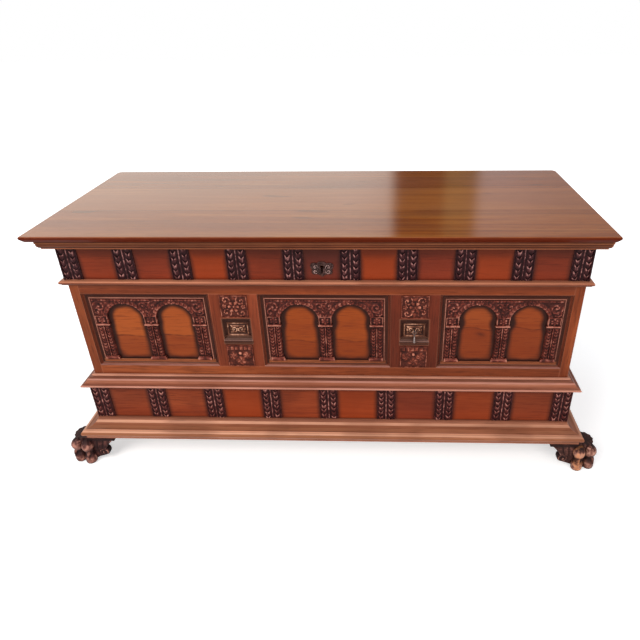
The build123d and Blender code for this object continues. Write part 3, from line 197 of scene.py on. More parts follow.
# Section of a panel's moulding: share of the way in from its outer edge, and tone. The tones paint the light
# on the profile, with painted shade in the cove and a painted highlight on the bead.
PANEL_EDGE_WIDTH = 20.0
PANEL_EDGE_LIGHT_AND_SHADE = (
    (0.0, (52, 24, 18)),
    (0.06, (56, 26, 20)),
    (0.13, (106, 50, 32)),
    (0.3, (96, 44, 30)),
    (0.38, (38, 15, 13)),
    (0.55, (34, 14, 12)),
    (0.66, (60, 27, 21)),
    (0.76, (74, 34, 26)),
    (0.82, (176, 118, 100)),
    (0.89, (140, 84, 70)),
    (0.95, (44, 19, 16)),
)


def stain(red, green, blue):
    """Tone given as screen values 0 to 255, as the linear colour that a shader takes."""
    channels = np.array([red, green, blue], float) / 255
    linear = np.where(channels <= 0.04045, channels / 12.92, ((channels + 0.055) / 1.055) ** 2.4)
    return (*linear.tolist(), 1.0)


def put_node(tree, kind, inputs, **settings):
    """New shader node: sockets given as inputs are linked to it, and other inputs and settings are set."""
    node = tree.nodes.new(kind)
    for key, value in settings.items():
        setattr(node, key, value)
    for key, value in inputs.items():
        if isinstance(value, bpy.types.NodeSocket):
            tree.links.new(value, node.inputs[key])
        else:
            node.inputs[key].default_value = value
    return node


class Bench:
    """Node tree of one finish, with short calls for the kinds of node that a finish needs."""

    def __init__(self, name):
        """Start a finish with only its shader, its output and the object coordinates."""
        self.finish = bpy.data.materials.new(name)
        self.finish.use_nodes = True
        self.tree = self.finish.node_tree
        self.tree.nodes.clear()
        self.shader = self.put("ShaderNodeBsdfPrincipled", {})
        self.put("ShaderNodeOutputMaterial", {"Surface": self.shader.outputs["BSDF"]})
        self.place = self.put("ShaderNodeTexCoord", {}).outputs["Object"]

    def put(self, kind, inputs, **settings):
        """New node in this finish."""
        return put_node(self.tree, kind, inputs, **settings)

    def set(self, **inputs):
        """Fill the shader's own sockets; an underscore in a name stands for a space."""
        for key, value in inputs.items():
            socket = self.shader.inputs[key.replace("_", " ")]
            if isinstance(value, bpy.types.NodeSocket):
                self.tree.links.new(value, socket)
            else:
                socket.default_value = value

    def reckon(self, kind, first, second=0.0):
        """One sum on two numbers."""
        return self.put("ShaderNodeMath", {0: first, 1: second}, operation=kind).outputs[0]

    def times(self, first, second):
        """Product of two numbers."""
        return self.reckon("MULTIPLY", first, second)

    def less(self, first, second):
        """First number less the second."""
        return self.reckon("SUBTRACT", first, second)

    def plus(self, first, second):
        """Sum of two numbers."""
        return self.reckon("ADD", first, second)

    def off(self, value, middle):
        """Distance of a number from a middle."""
        return self.reckon("ABSOLUTE", self.less(value, middle))

    def noise(self, fineness, shift=(0, 0, 0), detail=3.0, rough=0.55, bend=0.0):
        """Cloudy number about one half, with so many clouds to the metre along each axis."""
        inputs = {"Vector": self.place, "Scale": fineness, "Location": shift}
        where = self.put("ShaderNodeMapping", inputs).outputs[0]
        inputs = {"Vector": where, "Scale": 1.0, "Detail": detail, "Roughness": rough, "Distortion": bend}
        return self.put("ShaderNodeTexNoise", inputs).outputs["Fac"]

    def span(self, value, low, high, start=0.0, end=1.0):
        """Value between low and high, eased to run from start to end."""
        inputs = {"Value": value, "From Min": low, "From Max": high, "To Min": start, "To Max": end}
        return self.put("ShaderNodeMapRange", inputs, interpolation_type="SMOOTHSTEP").outputs[0]

    def mix(self, share, first, second, kind="MIX"):
        """Share of the way from the first colour to the second."""
        node = self.put("ShaderNodeMix", {0: share, 6: first, 7: second}, data_type="RGBA", blend_type=kind)
        return node.outputs[2]

    def tint(self, colour, tone, share):
        """Colour moved towards a tone by a share."""
        return self.mix(share, colour, stain(*tone))

    def wash(self, colour, tone, value, low, high, most):
        """Colour moved towards a tone: nothing where value is at low, and most where it is at high."""
        return self.tint(colour, tone, self.span(value, low, high, 0.0, most))

    def scale(self, value, stops):
        """Colour read off (value, linear colour) stops."""
        node = self.put("ShaderNodeValToRGB", {0: value})
        band = node.color_ramp
        while len(band.elements) < len(stops):
            band.elements.new(0.5)
        for element, (at, colour) in zip(band.elements, stops):
            element.position = at
            element.color = colour
        return node.outputs[0]

    def ramp(self, value, *stops):
        """Colour read off (value, tone) stops."""
        return self.scale(value, [(at, stain(*tone)) for at, tone in stops])

    def axes(self):
        """Object coordinates, one by one."""
        return self.put("ShaderNodeSeparateXYZ", {0: self.place}).outputs

    def mark(self, name):
        """Number painted on a piece's own points."""
        return self.put("ShaderNodeAttribute", {}, attribute_name=name).outputs["Fac"]

    def nook(self, reach, inside=False):
        """1 on open faces and less in the quirks; with inside, less next to outer corners."""
        inputs = {"Distance": reach * MM}
        node = self.put("ShaderNodeAmbientOcclusion", inputs, samples=6, inside=inside, only_local=False)
        return node.outputs["AO"]

    def between(self, value, low, high, soft):
        """1 where a length in metres lies between two in millimetres, falling off over a soft edge."""
        rise = self.span(value, (low - soft) * MM, low * MM)
        return self.times(rise, self.span(value, high * MM, (high + soft) * MM, 1.0, 0.0))

    def bump(self, height, depth, strength=1.0):
        """Relief too fine for the mesh, depth millimetres deep."""
        inputs = {"Height": height, "Distance": depth * MM, "Strength": strength}
        return self.put("ShaderNodeBump", inputs).outputs[0]

    def wax(self, colour, roughness, level, height, depth, strength, tint=WARM_SHINE):
        """Waxed wood: a coloured ground under a low, warm shine, and a fine relief."""
        self.set(Base_Color=colour, Roughness=roughness, Specular_IOR_Level=level, Specular_Tint=tint)
        self.set(Normal=self.bump(height, depth, strength))
        return self.finish


# ---------------------------------------------------------------- finishes
GRAIN = {"X": (1.1, 20.0, 20.0), "Y": (20.0, 1.1, 20.0), "Z": (20.0, 20.0, 1.1)}
PORE_FINENESS = 16


def wood_figure(bench, grain, seed):
    """Long grain: coarse figure, fine pores and slow patches, all drawn out along one axis."""
    long = GRAIN[grain]
    shift = (seed * 1.7, seed * 2.3, seed * 3.1)
    figure = bench.noise(long, shift, detail=5.0, rough=0.62, bend=0.7)
    pores = bench.noise([PORE_FINENESS * s for s in long], shift, rough=0.6)
    patches = bench.noise((2.6, 2.6, 3.4), shift, detail=2.0, rough=0.5)
    return figure, pores, patches


def bay_paint(bench, colour, bays, planks, overhang):
    """Boards between the bars of a frieze.

    The distance along the frieze, divided by the bars' pitch and rounded down, numbers each board, and the
    number draws its tone. Painted light makes a board paler towards its foot. Painted shade darkens it beside
    the bars and at the top under the moulding's overhang, which reaches overhang millimetres down, and it is
    also darker at its very foot.
    """
    count, half, _, foot, top = bays
    spread = half + BAR_STAND - BAR_WIDTH / 2
    pitch = 2 * spread / (count - 1)
    across, _, high = bench.axes()[:3]
    place = bench.reckon("DIVIDE", bench.plus(across, spread * MM), pitch * MM)
    number = bench.plus(bench.reckon("FLOOR", place), planks)
    lot = bench.put("ShaderNodeTexWhiteNoise", {"W": number}, noise_dimensions="1D").outputs["Value"]
    colour = bench.wash(colour, BAY_ORANGE, lot, 0.4, 0.95, 0.75)
    colour = bench.wash(colour, BAY_RED, lot, 0.6, 0.1, 0.6)
    inside = bench.off(bench.reckon("FRACT", place), 0.5)
    gap = bench.times(bench.less(0.5, inside), pitch * MM)
    # Painted shade beside the bars, under the overhang and at the foot, and painted light towards the foot.
    beside = bench.span(gap, (BAR_WIDTH / 2 - 2) * MM, (BAR_WIDTH / 2 + 15) * MM, 0.85, 0.0)
    above = bench.span(high, (top - overhang) * MM, (top - 0.4 * overhang) * MM, 0.0, 0.55)
    below = bench.span(high, (foot + 5) * MM, foot * MM, 0.0, 0.3)
    painted_paler = bench.span(high, (0.3 * foot + 0.7 * top) * MM, foot * MM)
    colour = bench.mix(painted_paler, colour, stain(*BAY_FOOT_PAINTED_LIGHT), "ADD")
    painted_shade = bench.reckon("MAXIMUM", beside, bench.reckon("MAXIMUM", above, below))
    return bench.tint(colour, BAR_PAINTED_SHADE, painted_shade)


def paint_light_bands(bench, colour, painted_bands, figure, stains):
    """Level bands of painted highlight and painted shade along the mouldings: strongest where the wood is
    clean and figured, and to the left, where the painted light is stronger.
    """
    kept = bench.times(bench.span(stains, 0.4, 0.62, 1.0, 0.6), bench.span(figure, 0.2, 0.6, 0.6, 1.0))
    kept = bench.times(kept, bench.span(bench.axes()[0], -0.2, 0.75, 1.0, 0.7))
    for foot, top, tone, share in painted_bands:
        line = bench.between(bench.axes()[2], foot, top, 0.8)
        colour = bench.tint(colour, tone, bench.times(line, bench.times(kept, share)))
    return colour


def waxed_wood(
    name, tones, grain, seed, sheen=0.42, dirt_and_shade=0.75, wear=0.2,
    fade=0.0, painted_bands=(), bays=(), planks=0, overhang=46.0,
):
    """Old waxed walnut: three tones along the grain, darker pores, grime and painted shade in the quirks, and
    rubbed arrises.

    Fade is the share of the darkest tone at the right end. Painted bands are level lines of painted highlight
    and painted shade. Bays are the bars that part a frieze into boards, and planks is the number of its first
    board.
    """
    bench = Bench(name)
    figure, pores, patches = wood_figure(bench, grain, seed)
    low = tones[0]
    colour = bench.ramp(figure, *zip((0.3, 0.5, 0.72), tones))
    colour = bench.wash(colour, low, patches, 0.35, 0.7, 0.55)
    stains = bench.noise((7, 5, 6), (seed, 0, seed), detail=2.0, rough=0.5)
    colour = bench.wash(colour, low, stains, 0.46, 0.66, 0.5)
    colour = bench.wash(colour, low, bench.axes()[0], 0.1, 0.75, fade)
    colour = bench.wash(colour, SOOT_AND_SHADE, pores, 0.52, 0.3, 0.45)
    if bays:
        colour = bay_paint(bench, colour, bays, planks, overhang)
    # Grime and painted shade: darker where ambient occlusion finds a quirk or recess.
    colour = bench.wash(colour, SOOT_AND_SHADE, bench.nook(12), 0.9, 0.3, dirt_and_shade)
    rubbed = bench.span(bench.nook(3, inside=True), 0.97, 0.6, 0.0, wear)
    rubbed = bench.times(rubbed, bench.span(patches, 0.3, 0.6, 0.5, 1.0))
    colour = bench.tint(colour, RUBBED, rubbed)
    colour = paint_light_bands(bench, colour, painted_bands, figure, stains)
    roughness = bench.span(pores, 0.3, 0.7, sheen + 0.12, sheen - 0.04)
    return bench.wax(colour, roughness, 0.3, bench.plus(figure, pores), 0.35, 0.6)


def panel_edge(word):
    """Moulding round a panel: the distance in from its outer edge picks the tone, with painted shade in the
    cove and a painted highlight on the bead, and painted highlights on the upward faces along its foot.
    """
    middle, half = middle_and_half("panel_moulding_" + word, 0)
    bench = Bench(word + "_panel_edge")
    across, _, high = bench.axes()[:3]
    figure, pores, _ = wood_figure(bench, "X", 17)
    beside = bench.off(across, middle * MM)
    over = bench.off(high, PANEL_MIDDLE * MM)
    inward = bench.reckon("MINIMUM", bench.less(half * MM, beside), bench.less(PANEL_REACH * MM, over))
    colour = bench.ramp(bench.reckon("DIVIDE", inward, PANEL_EDGE_WIDTH * MM), *PANEL_EDGE_LIGHT_AND_SHADE)
    # Painted highlights on the upward faces along the foot of the moulding.
    within = bench.span(beside, (half - 9) * MM, (half - 15) * MM)
    tread_highlight = bench.times(within, bench.between(high, PANEL_FOOT + 9.5, PANEL_FOOT + 19, 1.0))
    colour = bench.tint(colour, (136, 74, 44), tread_highlight)
    foot = bench.between(high, PANEL_FOOT - 2, PANEL_FOOT + 3.6, 1.0)
    colour = bench.tint(colour, (158, 106, 94), foot)
    colour = bench.wash(colour, (70, 30, 22), figure, 0.55, 0.3, 0.5)
    colour = bench.wash(colour, SOOT_AND_SHADE, pores, 0.5, 0.3, 0.5)
    roughness = bench.span(pores, 0.3, 0.7, 0.46, 0.32)
    return bench.wax(colour, roughness, 0.3, bench.plus(figure, pores), 0.35, 0.6)


def polished_top(name):
    """Lid: long straight grain over three joined boards under polished wax, a nose painted darker and redder
    as painted shade on its downward face, and an underside that is stained but not polished."""
    bench = Bench(name)
    _, deep, high = bench.axes()[:3]
    figure, pores, patches = wood_figure(bench, "X", 4)
    streak = bench.noise((0.7, 46, 4), (3, 1, 0), rough=0.6, bend=0.3)
    broad = bench.noise((1.5, 4.5, 1), (7, 2, 0), detail=2.0, rough=0.5, bend=0.4)
    knots = bench.noise((8, 24, 3), (11, 5, 0), detail=1.0, rough=0.4)
    colour = bench.ramp(figure, *zip((0.28, 0.5, 0.72), LID_TONES))
    colour = bench.wash(colour, (104, 52, 30), streak, 0.56, 0.36, 0.45)
    colour = bench.wash(colour, (112, 58, 40), broad, 0.46, 0.66, 0.55)
    colour = bench.wash(colour, (150, 86, 60), patches, 0.5, 0.7, 0.35)
    colour = bench.wash(colour, (72, 34, 22), pores, 0.5, 0.3, 0.4)
    middle_board = bench.between(deep, min(BOARD_SEAMS), max(BOARD_SEAMS), 1.0)
    colour = bench.tint(colour, MIDDLE_BOARD_TONE, bench.times(middle_board, 0.3))
    for seam in BOARD_SEAMS:
        line = bench.span(bench.off(deep, seam * MM), 0.4 * MM, 2.2 * MM, 0.65, 0.0)
        colour = bench.tint(colour, SEAM_TONE, line)
    colour = bench.wash(colour, KNOT_TONE, knots, 0.7, 0.77, 0.5)
    # Painted shade on the nose, which faces down.
    nose_shade = bench.span(high, LID_NOSE_FOOT * MM, LID_NOSE_TOP * MM, 0.96, 0.0)
    colour = bench.tint(colour, LID_NOSE_PAINTED_SHADE, nose_shade)
    dull = bench.ramp(figure, *zip((0.28, 0.5, 0.72), LID_UNDERSIDE_TONES))
    dull = bench.wash(dull, (44, 22, 16), pores, 0.5, 0.3, 0.6)
    under = bench.span(high, (LID_UNDERSIDE + 0.2) * MM, (LID_UNDERSIDE + 1.2) * MM, 1.0, 0.0)
    colour = bench.mix(under, colour, dull)
    roughness = bench.plus(bench.span(patches, 0.3, 0.7, 0.09, 0.14), bench.span(pores, 0.5, 0.3, 0.0, 0.1))
    roughness = bench.reckon("MAXIMUM", roughness, bench.times(under, 0.6))
    shine = bench.span(high, LID_NOSE_FOOT * MM, LID_NOSE_TOP * MM, 0.06, 0.3)
    return bench.wax(colour, roughness, shine, bench.plus(streak, pores), 0.1, 0.4)


def carved_wood(name, deep, middle, worn_crest_highlight, seed=1, gilt=0.0, glint=0.9):
    """Carving: grime and painted shade in the hollows, waxed ground, and crests rubbed lighter and smoother
    under a painted highlight.

    The tone follows the carve mark, roughened by a fine noise; glint is the mark at which it is the crest's
    painted highlight.
    Gilt is the share of worn gilding where the gilt mark is 1.
    """
    bench = Bench(name)
    relief = bench.mark("carve")
    grain = bench.noise((60, 60, 60), (seed, seed, seed), detail=4.0, rough=0.6)
    level = bench.plus(relief, bench.span(grain, 0.3, 0.7, -0.2, 0.16))
    ground = [0.5 * (a + b) for a, b in zip(deep, middle)]
    colour = bench.ramp(level, (0.16, deep), (0.48, ground), (0.7 * glint, middle), (glint, worn_crest_highlight))
    if gilt:
        left = bench.times(bench.span(grain, 0.44, 0.64, 0.0, gilt), bench.mark("gilt"))
        left = bench.times(left, bench.span(relief, 0.3, 0.6, 0.35, 1.0))
        colour = bench.tint(colour, WORN_GILT, left)
    # Grime and painted shade: darker where ambient occlusion finds a hollow.
    colour = bench.wash(colour, deep, bench.nook(9), 0.9, 0.3, 0.75)
    roughness = bench.span(level, 0.3, 0.85, 0.55, 0.24)
    return bench.wax(colour, roughness, 0.22, grain, 0.5, 0.5, ROSE_SHINE)


def arch_field(name, light, seed):
    """Bright board inside an arch: orange-brown above the joint, redder below, dark towards the edge with
    grime and painted shadow.
    """
    bench = Bench(name)
    figure, pores, patches = wood_figure(bench, "X", seed)
    colour = bench.ramp(figure, (0.28, FIELD_ORANGE), (0.52, light), (0.75, light))
    colour = bench.tint(colour, FIELD_RED, bench.times(bench.mark("lower"), 0.55))
    colour = bench.wash(colour, FIELD_ORANGE, patches, 0.45, 0.7, 0.5)
    colour = bench.wash(colour, (92, 36, 20), pores, 0.52, 0.3, 0.55)
    colour = bench.tint(colour, (54, 20, 16), bench.mark("joint"))
    # Rim: grime and painted shadow along the arch's edge.
    colour = bench.tint(colour, (34, 13, 13), bench.mark("rim"))
    roughness = bench.span(pores, 0.3, 0.7, 0.5, 0.38)
    return bench.wax(colour, roughness, 0.28, bench.plus(figure, pores), 0.3, 0.5)


def forged_iron(name, dark, light, roughness=0.45, bright_below=None):
    """Hammered iron: mottled scale and small dents; only the low end may be bright."""
    bench = Bench(name)
    dents = bench.noise((210, 210, 210))
    rust = bench.noise((70, 70, 70), (5, 2, 1), detail=4.0, rough=0.65)
    colour = bench.mix(bench.span(dents, 0.35, 0.7), stain(*dark), stain(*light))
    colour = bench.wash(colour, RUST, rust, 0.52, 0.72, 0.6)
    if bright_below:
        high = bench.axes()[2]
        colour = bench.wash(colour, (74, 56, 50), high, bright_below * MM, (bright_below + 9) * MM, 0.8)
    bench.set(Base_Color=colour, Metallic=0.85)
    bench.set(Roughness=bench.span(rust, 0.4, 0.7, roughness, roughness + 0.25))
    bench.set(Normal=bench.bump(dents, 0.5, 0.7))
    return bench.finish


def raw_board(name, grain, seed):
    """Unwaxed inner board: dusty, open-grained, duller than the outside."""
    bench = Bench(name)
    figure, pores, patches = wood_figure(bench, grain, seed)
    colour = bench.ramp(figure, *zip((0.3, 0.5, 0.7), RAW_TONES))
    colour = bench.wash(colour, (112, 84, 62), patches, 0.4, 0.7, 0.4)
    colour = bench.wash(colour, (74, 50, 34), pores, 0.5, 0.3, 0.5)
    # Dust and painted shade: darker where ambient occlusion finds a recess.
    colour = bench.wash(colour, (60, 42, 30), bench.nook(30), 0.9, 0.3, 0.5)
    bench.set(Base_Color=colour, Roughness=0.72, Specular_IOR_Level=0.25)
    bench.set(Normal=bench.bump(bench.plus(figure, pores), 0.6, 0.7))
    return bench.finish


# ---------------------------------------------------------------- meshes
def patch_faces(number):
    """Corners of the quads of a grid of numbered points."""
    corners = (number[:-1, :-1], number[1:, :-1], number[1:, 1:], number[:-1, 1:])
    return np.stack(corners, axis=-1).reshape(-1, 4)


def place_object(name, data):
    """New object in the scene for a mesh, a lamp or a camera."""
    thing = bpy.data.objects.new(name, data)
    bpy.context.scene.collection.objects.link(thing)
    return thing


def make_piece(name, made, finish, body, crease=50):
    """Object that rides on a body, from points in millimetres, blocks of faces and marks.

    A block is an array with a row of corners for each face. A mark is a number on each point.
    """
    points, blocks, marks = made
    faces = list(itertools.chain.from_iterable(block.tolist() for block in blocks))
    mesh = bpy.data.meshes.new(name)
    mesh.from_pydata((points * MM).tolist(), [], faces)
    mesh.materials.append(finish)
    for label, values in marks.items():
        layer = mesh.attributes.new(label, "FLOAT", "POINT")
        layer.data.foreach_set("value", np.asarray(values, np.float32).ravel())
    mesh.shade_smooth()
    mesh.set_sharp_from_angle(angle=math.radians(crease))
    mesh.update()
    piece = place_object(name, mesh)
    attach(piece, body)
    return piece


def softened(field, reach):
    """Mean of a field over a square of that many cells each way, taken twice."""
    for _ in range(2):
        for axis in (0, 1):
            padded = np.pad(field, [(reach + 1, reach) if a == axis else (0, 0) for a in (0, 1)], mode="edge")
            total = np.cumsum(padded, axis=axis)
            ahead = np.take(total, range(2 * reach + 1, total.shape[axis]), axis=axis)
            behind = np.take(total, range(0, total.shape[axis] - 2 * reach - 1), axis=axis)
            field = (ahead - behind) / (2 * reach + 1)
    return field


def carve_mark(height, reach, amount):
    """0.5 plus the height above its neighbourhood's mean, in units of amount: hollows low, crests high."""
    return np.clip(0.5 + (height - softened(height, reach)) / amount, 0, 1)


def slab(across, up, height, depth, place, marks):
    """Closed slab with a carved face.

    The face stands at height over the grid across x up; one more row of points all round drops to
    depth behind, which makes the edges, and a fan of triangles from the middle closes the back.
    """
    a = np.concatenate(([across[0]], across, [across[-1]]))
    b = np.concatenate(([up[0]], up, [up[-1]]))
    h = np.pad(height, 1, constant_values=-depth)
    grid_a, grid_b = np.meshgrid(a, b, indexing="ij")
    points = place(grid_a.ravel(), grid_b.ravel(), h.ravel())
    number = np.arange(h.size).reshape(h.shape)
    rim = np.concatenate((number[:-1, 0], number[-1, :-1], number[:0:-1, -1], number[0, :0:-1]))
    middle = place(np.array([a.mean()]), np.array([b.mean()]), np.array([-depth]))
    fan = np.stack((np.roll(rim, -1), rim, np.full_like(rim, h.size)), axis=1)
    painted = {k: np.append(np.pad(v, 1, mode="edge").ravel(), v.mean()) for k, v in marks.items()}
    return np.vstack((points, middle)), [patch_faces(number), fan], painted


def joined(parts):
    """Several (points, blocks of faces, marks) made one."""
    points, blocks, marks = zip(*parts)
    starts = np.cumsum([0] + [len(part) for part in points])
    moved = [block + start for part, start in zip(blocks, starts) for block in part]
    painted = {key: np.concatenate([part[key] for part in marks]) for key in marks[0]}
    return np.vstack(points), moved, painted


def facing_front(x, y, z):
    """Place (across, up, height) on a front face: across runs right, height comes towards the front."""
    return lambda u, v, h: np.stack((x + u, y - h, z + v), axis=-1)


def facing_end(side, x, y, z):
    """Place (across, up, height) on an end face; across runs backwards on the right end."""
    return lambda u, v, h: np.stack((side * (x + h), y + side * u, z + v), axis=-1)


# ---------------------------------------------------------------- carved patterns
RIPPLE_WAVES = 7
RIPPLE_GAIN = 1.8


def ripple(u, v, pitch, seed):
    """Tool marks: a sum of crossed sine waves with seeded directions, mostly between -1 and 1."""
    lot = np.random.default_rng(seed)
    total = np.zeros_like(u)
    for _ in range(RIPPLE_WAVES):
        angle, phase = lot.uniform(0, 2 * np.pi, 2)
        length = pitch * lot.uniform(0.7, 1.6)
        total += np.sin((u * np.cos(angle) + v * np.sin(angle)) * 2 * np.pi / length + phase)
    return total / RIPPLE_WAVES * RIPPLE_GAIN


def bump_row(t):
    """Round bead across -1..1: the square root of one less t squared, nought outside."""
    return np.sqrt(np.clip(1 - t * t, 0, 1))


def bell(t):
    """Bell curve: 1 at nought, falling as e to the power of minus t squared."""
    return np.exp(-(t**2))


def leaf_row(along, across, lean=0.5):
    """Leaves laid over one another.

    Each rises along its length (a saw wave), is round across, leans by the distance from its stem,
    and has a vein cut down its middle; across runs from -1 to 1 and along counts leaves.
    """
    step = np.mod(along - lean * np.abs(across), 1.0)
    body = bump_row(across) * (0.25 + 0.75 * step**0.8)
    notch = 1 - 0.55 * bell((step - 0.04) / 0.07)
    vein = 0.3 * bell(across / 0.14)
    return body * notch - vein * (0.4 + 0.6 * step)


def rosette(u, v, radius, petals, turn=0.0):
    """Flower: petals are the cosine of the angle, swelling with the distance, round a raised eye."""
    reach = np.hypot(u, v) / radius
    angle = np.arctan2(v, u) + turn
    petal = np.abs(np.cos(angle * petals / 2)) ** 0.7
    edge = np.clip((0.72 + 0.28 * petal - reach) / 0.12, 0, 1)
    body = (0.35 + 0.65 * petal * np.sin(np.clip(reach, 0, 1) * np.pi * 0.75)) * edge
    eye = bump_row(reach / 0.26)
    return np.maximum(body * (reach > 0.24), eye)


def curl(u, v, radius, turns, hand, start=0.0):
    """Scrolled stem with leaf tips: a ridge along the spiral where angle and distance keep step."""
    reach = np.hypot(u, v) / radius
    angle = hand * np.arctan2(v, u) + start
    phase = np.mod(angle / (2 * np.pi) - turns * reach**0.8, 1.0)
    ridge = bell((phase - 0.5) / 0.2)
    teeth = 0.8 + 0.2 * np.cos(angle * 7)
    return ridge * teeth * np.clip((1 - reach) / 0.15, 0, 1) + 0.7 * bump_row(reach / 0.2)


# ---------------------------------------------------------------- frieze bars
BAR_LEAF_LENGTH = 17.5
BAR_STRIP_MIDDLE = 14.9
BAR_STRIP_HALF = 8.8
BAR_EDGE_FROM = 24.4
BEAD_HALF = 1.9
BAR_SHIFT = 5.3
BAR_COLUMNS = 61
BAR_CELL = 0.95


def bar_carving(u, v):
    """Bar: plain edges, two strips of paired leaves, and a thin bead between quirks down the middle."""
    side = np.abs(u)
    strip = (side - BAR_STRIP_MIDDLE) / BAR_STRIP_HALF
    along = v / BAR_LEAF_LENGTH + 0.5 * (u > 0) + 0.06 * ripple(u, v, pitch=19.0, seed=4)
    leaves = np.clip(leaf_row(along, strip, lean=0.55), 0, None) ** 1.25
    height = np.where(np.abs(strip) < 1, 1.1 + 3.8 * leaves, 0.9)
    height = np.where(side < BEAD_HALF, 1.5 + 1.3 * bump_row(side / BEAD_HALF), height)
    height = np.where(side > BAR_EDGE_FROM, 2.2, height)
    return np.clip(height + 0.35 * ripple(u, v, pitch=7.0, seed=3), 0.3, BAR_STAND)


def frieze_bars(name, layout, finish):
    """A row of carved bars; the two outermost also turn on to the ends."""
    count, half, front, foot, top = layout
    spread = half + BAR_STAND - BAR_WIDTH / 2
    across = np.linspace(-BAR_WIDTH / 2, BAR_WIDTH / 2, BAR_COLUMNS)
    up = np.linspace(0, top - foot, int((top - foot) / BAR_CELL))
    grid_u, grid_v = np.meshgrid(across, up, indexing="ij")
    slabs = []
    for index in range(count):
        x = -spread + 2 * spread * index / (count - 1)
        height = bar_carving(grid_u, grid_v + BAR_SHIFT * index)
        marks = {"carve": carve_mark(height, reach=5, amount=3.6)}
        slabs.append(slab(across, up, height, 0, facing_front(x, front, foot), marks))
        if index in (0, count - 1):
            side = 1 if index else -1
            turned = facing_end(side, half, front - BAR_STAND + BAR_WIDTH / 2, foot)
            slabs.append(slab(across, up, height, 0, turned, marks))
    piece = make_piece(name, joined(slabs), finish, "case")
    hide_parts(name.replace("carved_", ""))


# ---------------------------------------------------------------- arcades
ARCADE_CELL = 1.05
ARCADE_ROWS = 190
SHAFT_HALF = SHAFT_WIDTH / 2
TOP_LEAVES = 5.0
TOP_LEAF_PITCH = 9.5
RING_WIDTH = 13.0
RING_LEAF_LENGTH = 11.5
RING_LEAF_MIDDLE = 6.8
RING_LEAF_HALF = 6.2
CROWN_FLOWER_RISE = 7.5
SCALE_LENGTH = 10.5
SCALE_STRIP_MIDDLE = 9.6
SCALE_STRIP_HALF = 6.4
SHAFT_FILLET_FROM = 16.6
CAPITAL_FRAME = 2.4
BASE_SPREAD = 6.0
BASE_STEP = 6.5
GRIME_AND_SHADOW_REACH = 13.0

# Field behind the arches: height of the joint, how far the grime and painted shadow come in beside the
# capitals, and how much further they come in on the left.
FIELDS = {"arcade_left": (77, 2, 3.5), "arcade_centre": (62, 6, 2.0), "arcade_right": (106, 8.5, 0.5)}


def arch_setting(half):
    """Radius of the two arches in an arcade of that half width, their distance from its middle, and the
    height from which they spring."""
    radius = (2 * half - 3 * SHAFT_WIDTH) / 4
    return radius, SHAFT_HALF + radius, CROWN_RISE - radius


def arch_inset(u, v, half):
    """Distance inside the nearer arch: radius less the distance from its centre above the springing,
    half the width less the distance from its middle line below it; negative in the plate."""
    radius, middle, spring = arch_setting(half)
    off = np.abs(np.abs(u) - middle)
    return np.where(v > spring, radius - np.hypot(off, v - spring), radius - off)


def arch_leaves(u, v, away, half):
    """Leaves laid round each arch, counted by the angle and round across the distance from its edge."""
    radius, middle, spring = arch_setting(half)
    angle = np.arctan2(v - spring, np.abs(u) - middle)
    along = np.abs(angle - np.pi / 2) * (radius + 6) / RING_LEAF_LENGTH
    ring = leaf_row(along, (away - RING_LEAF_MIDDLE) / RING_LEAF_HALF, lean=-0.35)
    return np.where((away > 0.6) & (away < RING_WIDTH), 0.9 + 2.6 * ring, 0.0)


def spandrel_leaves(u, v, half):
    """Between and beside the arches: paired curls, a leaf up the middle and two curls in each corner."""
    top = ARCADE_HEIGHT - TOP_LEAVES
    leaves = np.zeros_like(u)
    for x, hand in ((-13, 1), (13, -1)):
        leaves = np.maximum(leaves, curl(u - x, v - (top - 15), radius=15, turns=1.5, hand=hand, start=1.2))
    leaves = np.maximum(leaves, leaf_row((v - 149) / 11, u / 9, lean=0.8) * (np.abs(u) < 9) * (v < top - 4))
    for hand in (1, -1):
        corner = curl(hand * u - (half - 19), v - (top - 19), radius=20, turns=1.6, hand=hand, start=0.4)
        under = curl(hand * u - (half - 12), v - 160, radius=13, turns=1.3, hand=-hand, start=2.2)
        leaves = np.maximum(leaves, np.maximum(corner, under))
    return 0.5 + 2.5 * leaves


def shaft_scales(v, column):
    """Shaft: a bead between two strips of scales, inside plain fillets."""
    side = np.abs(column)
    strip = (side - SCALE_STRIP_MIDDLE) / SCALE_STRIP_HALF
    scales = np.clip(leaf_row(v / SCALE_LENGTH + 0.5 * (column > 0), strip), 0, None) ** 1.2
    height = np.where(np.abs(strip) < 1, -0.4 + 3.3 * scales, -0.4)
    height = np.where(side < BEAD_HALF, 0.7 + 1.3 * bump_row(side / BEAD_HALF), height)
    return np.where(side > SHAFT_FILLET_FROM, 0.5, height)


def capital_flower(v, column):
    """Square capital: a flower in a raised frame."""
    over = v - CAPITAL_RISE - CAPITAL_HEIGHT / 2
    line = np.minimum(SHAFT_HALF - np.abs(column), CAPITAL_HEIGHT / 2 - np.abs(over))
    flower = rosette(column, over, radius=11.5, petals=6, turn=0.5)
    return np.where(line < CAPITAL_FRAME, 3.0, 0.6 + 2.5 * flower)


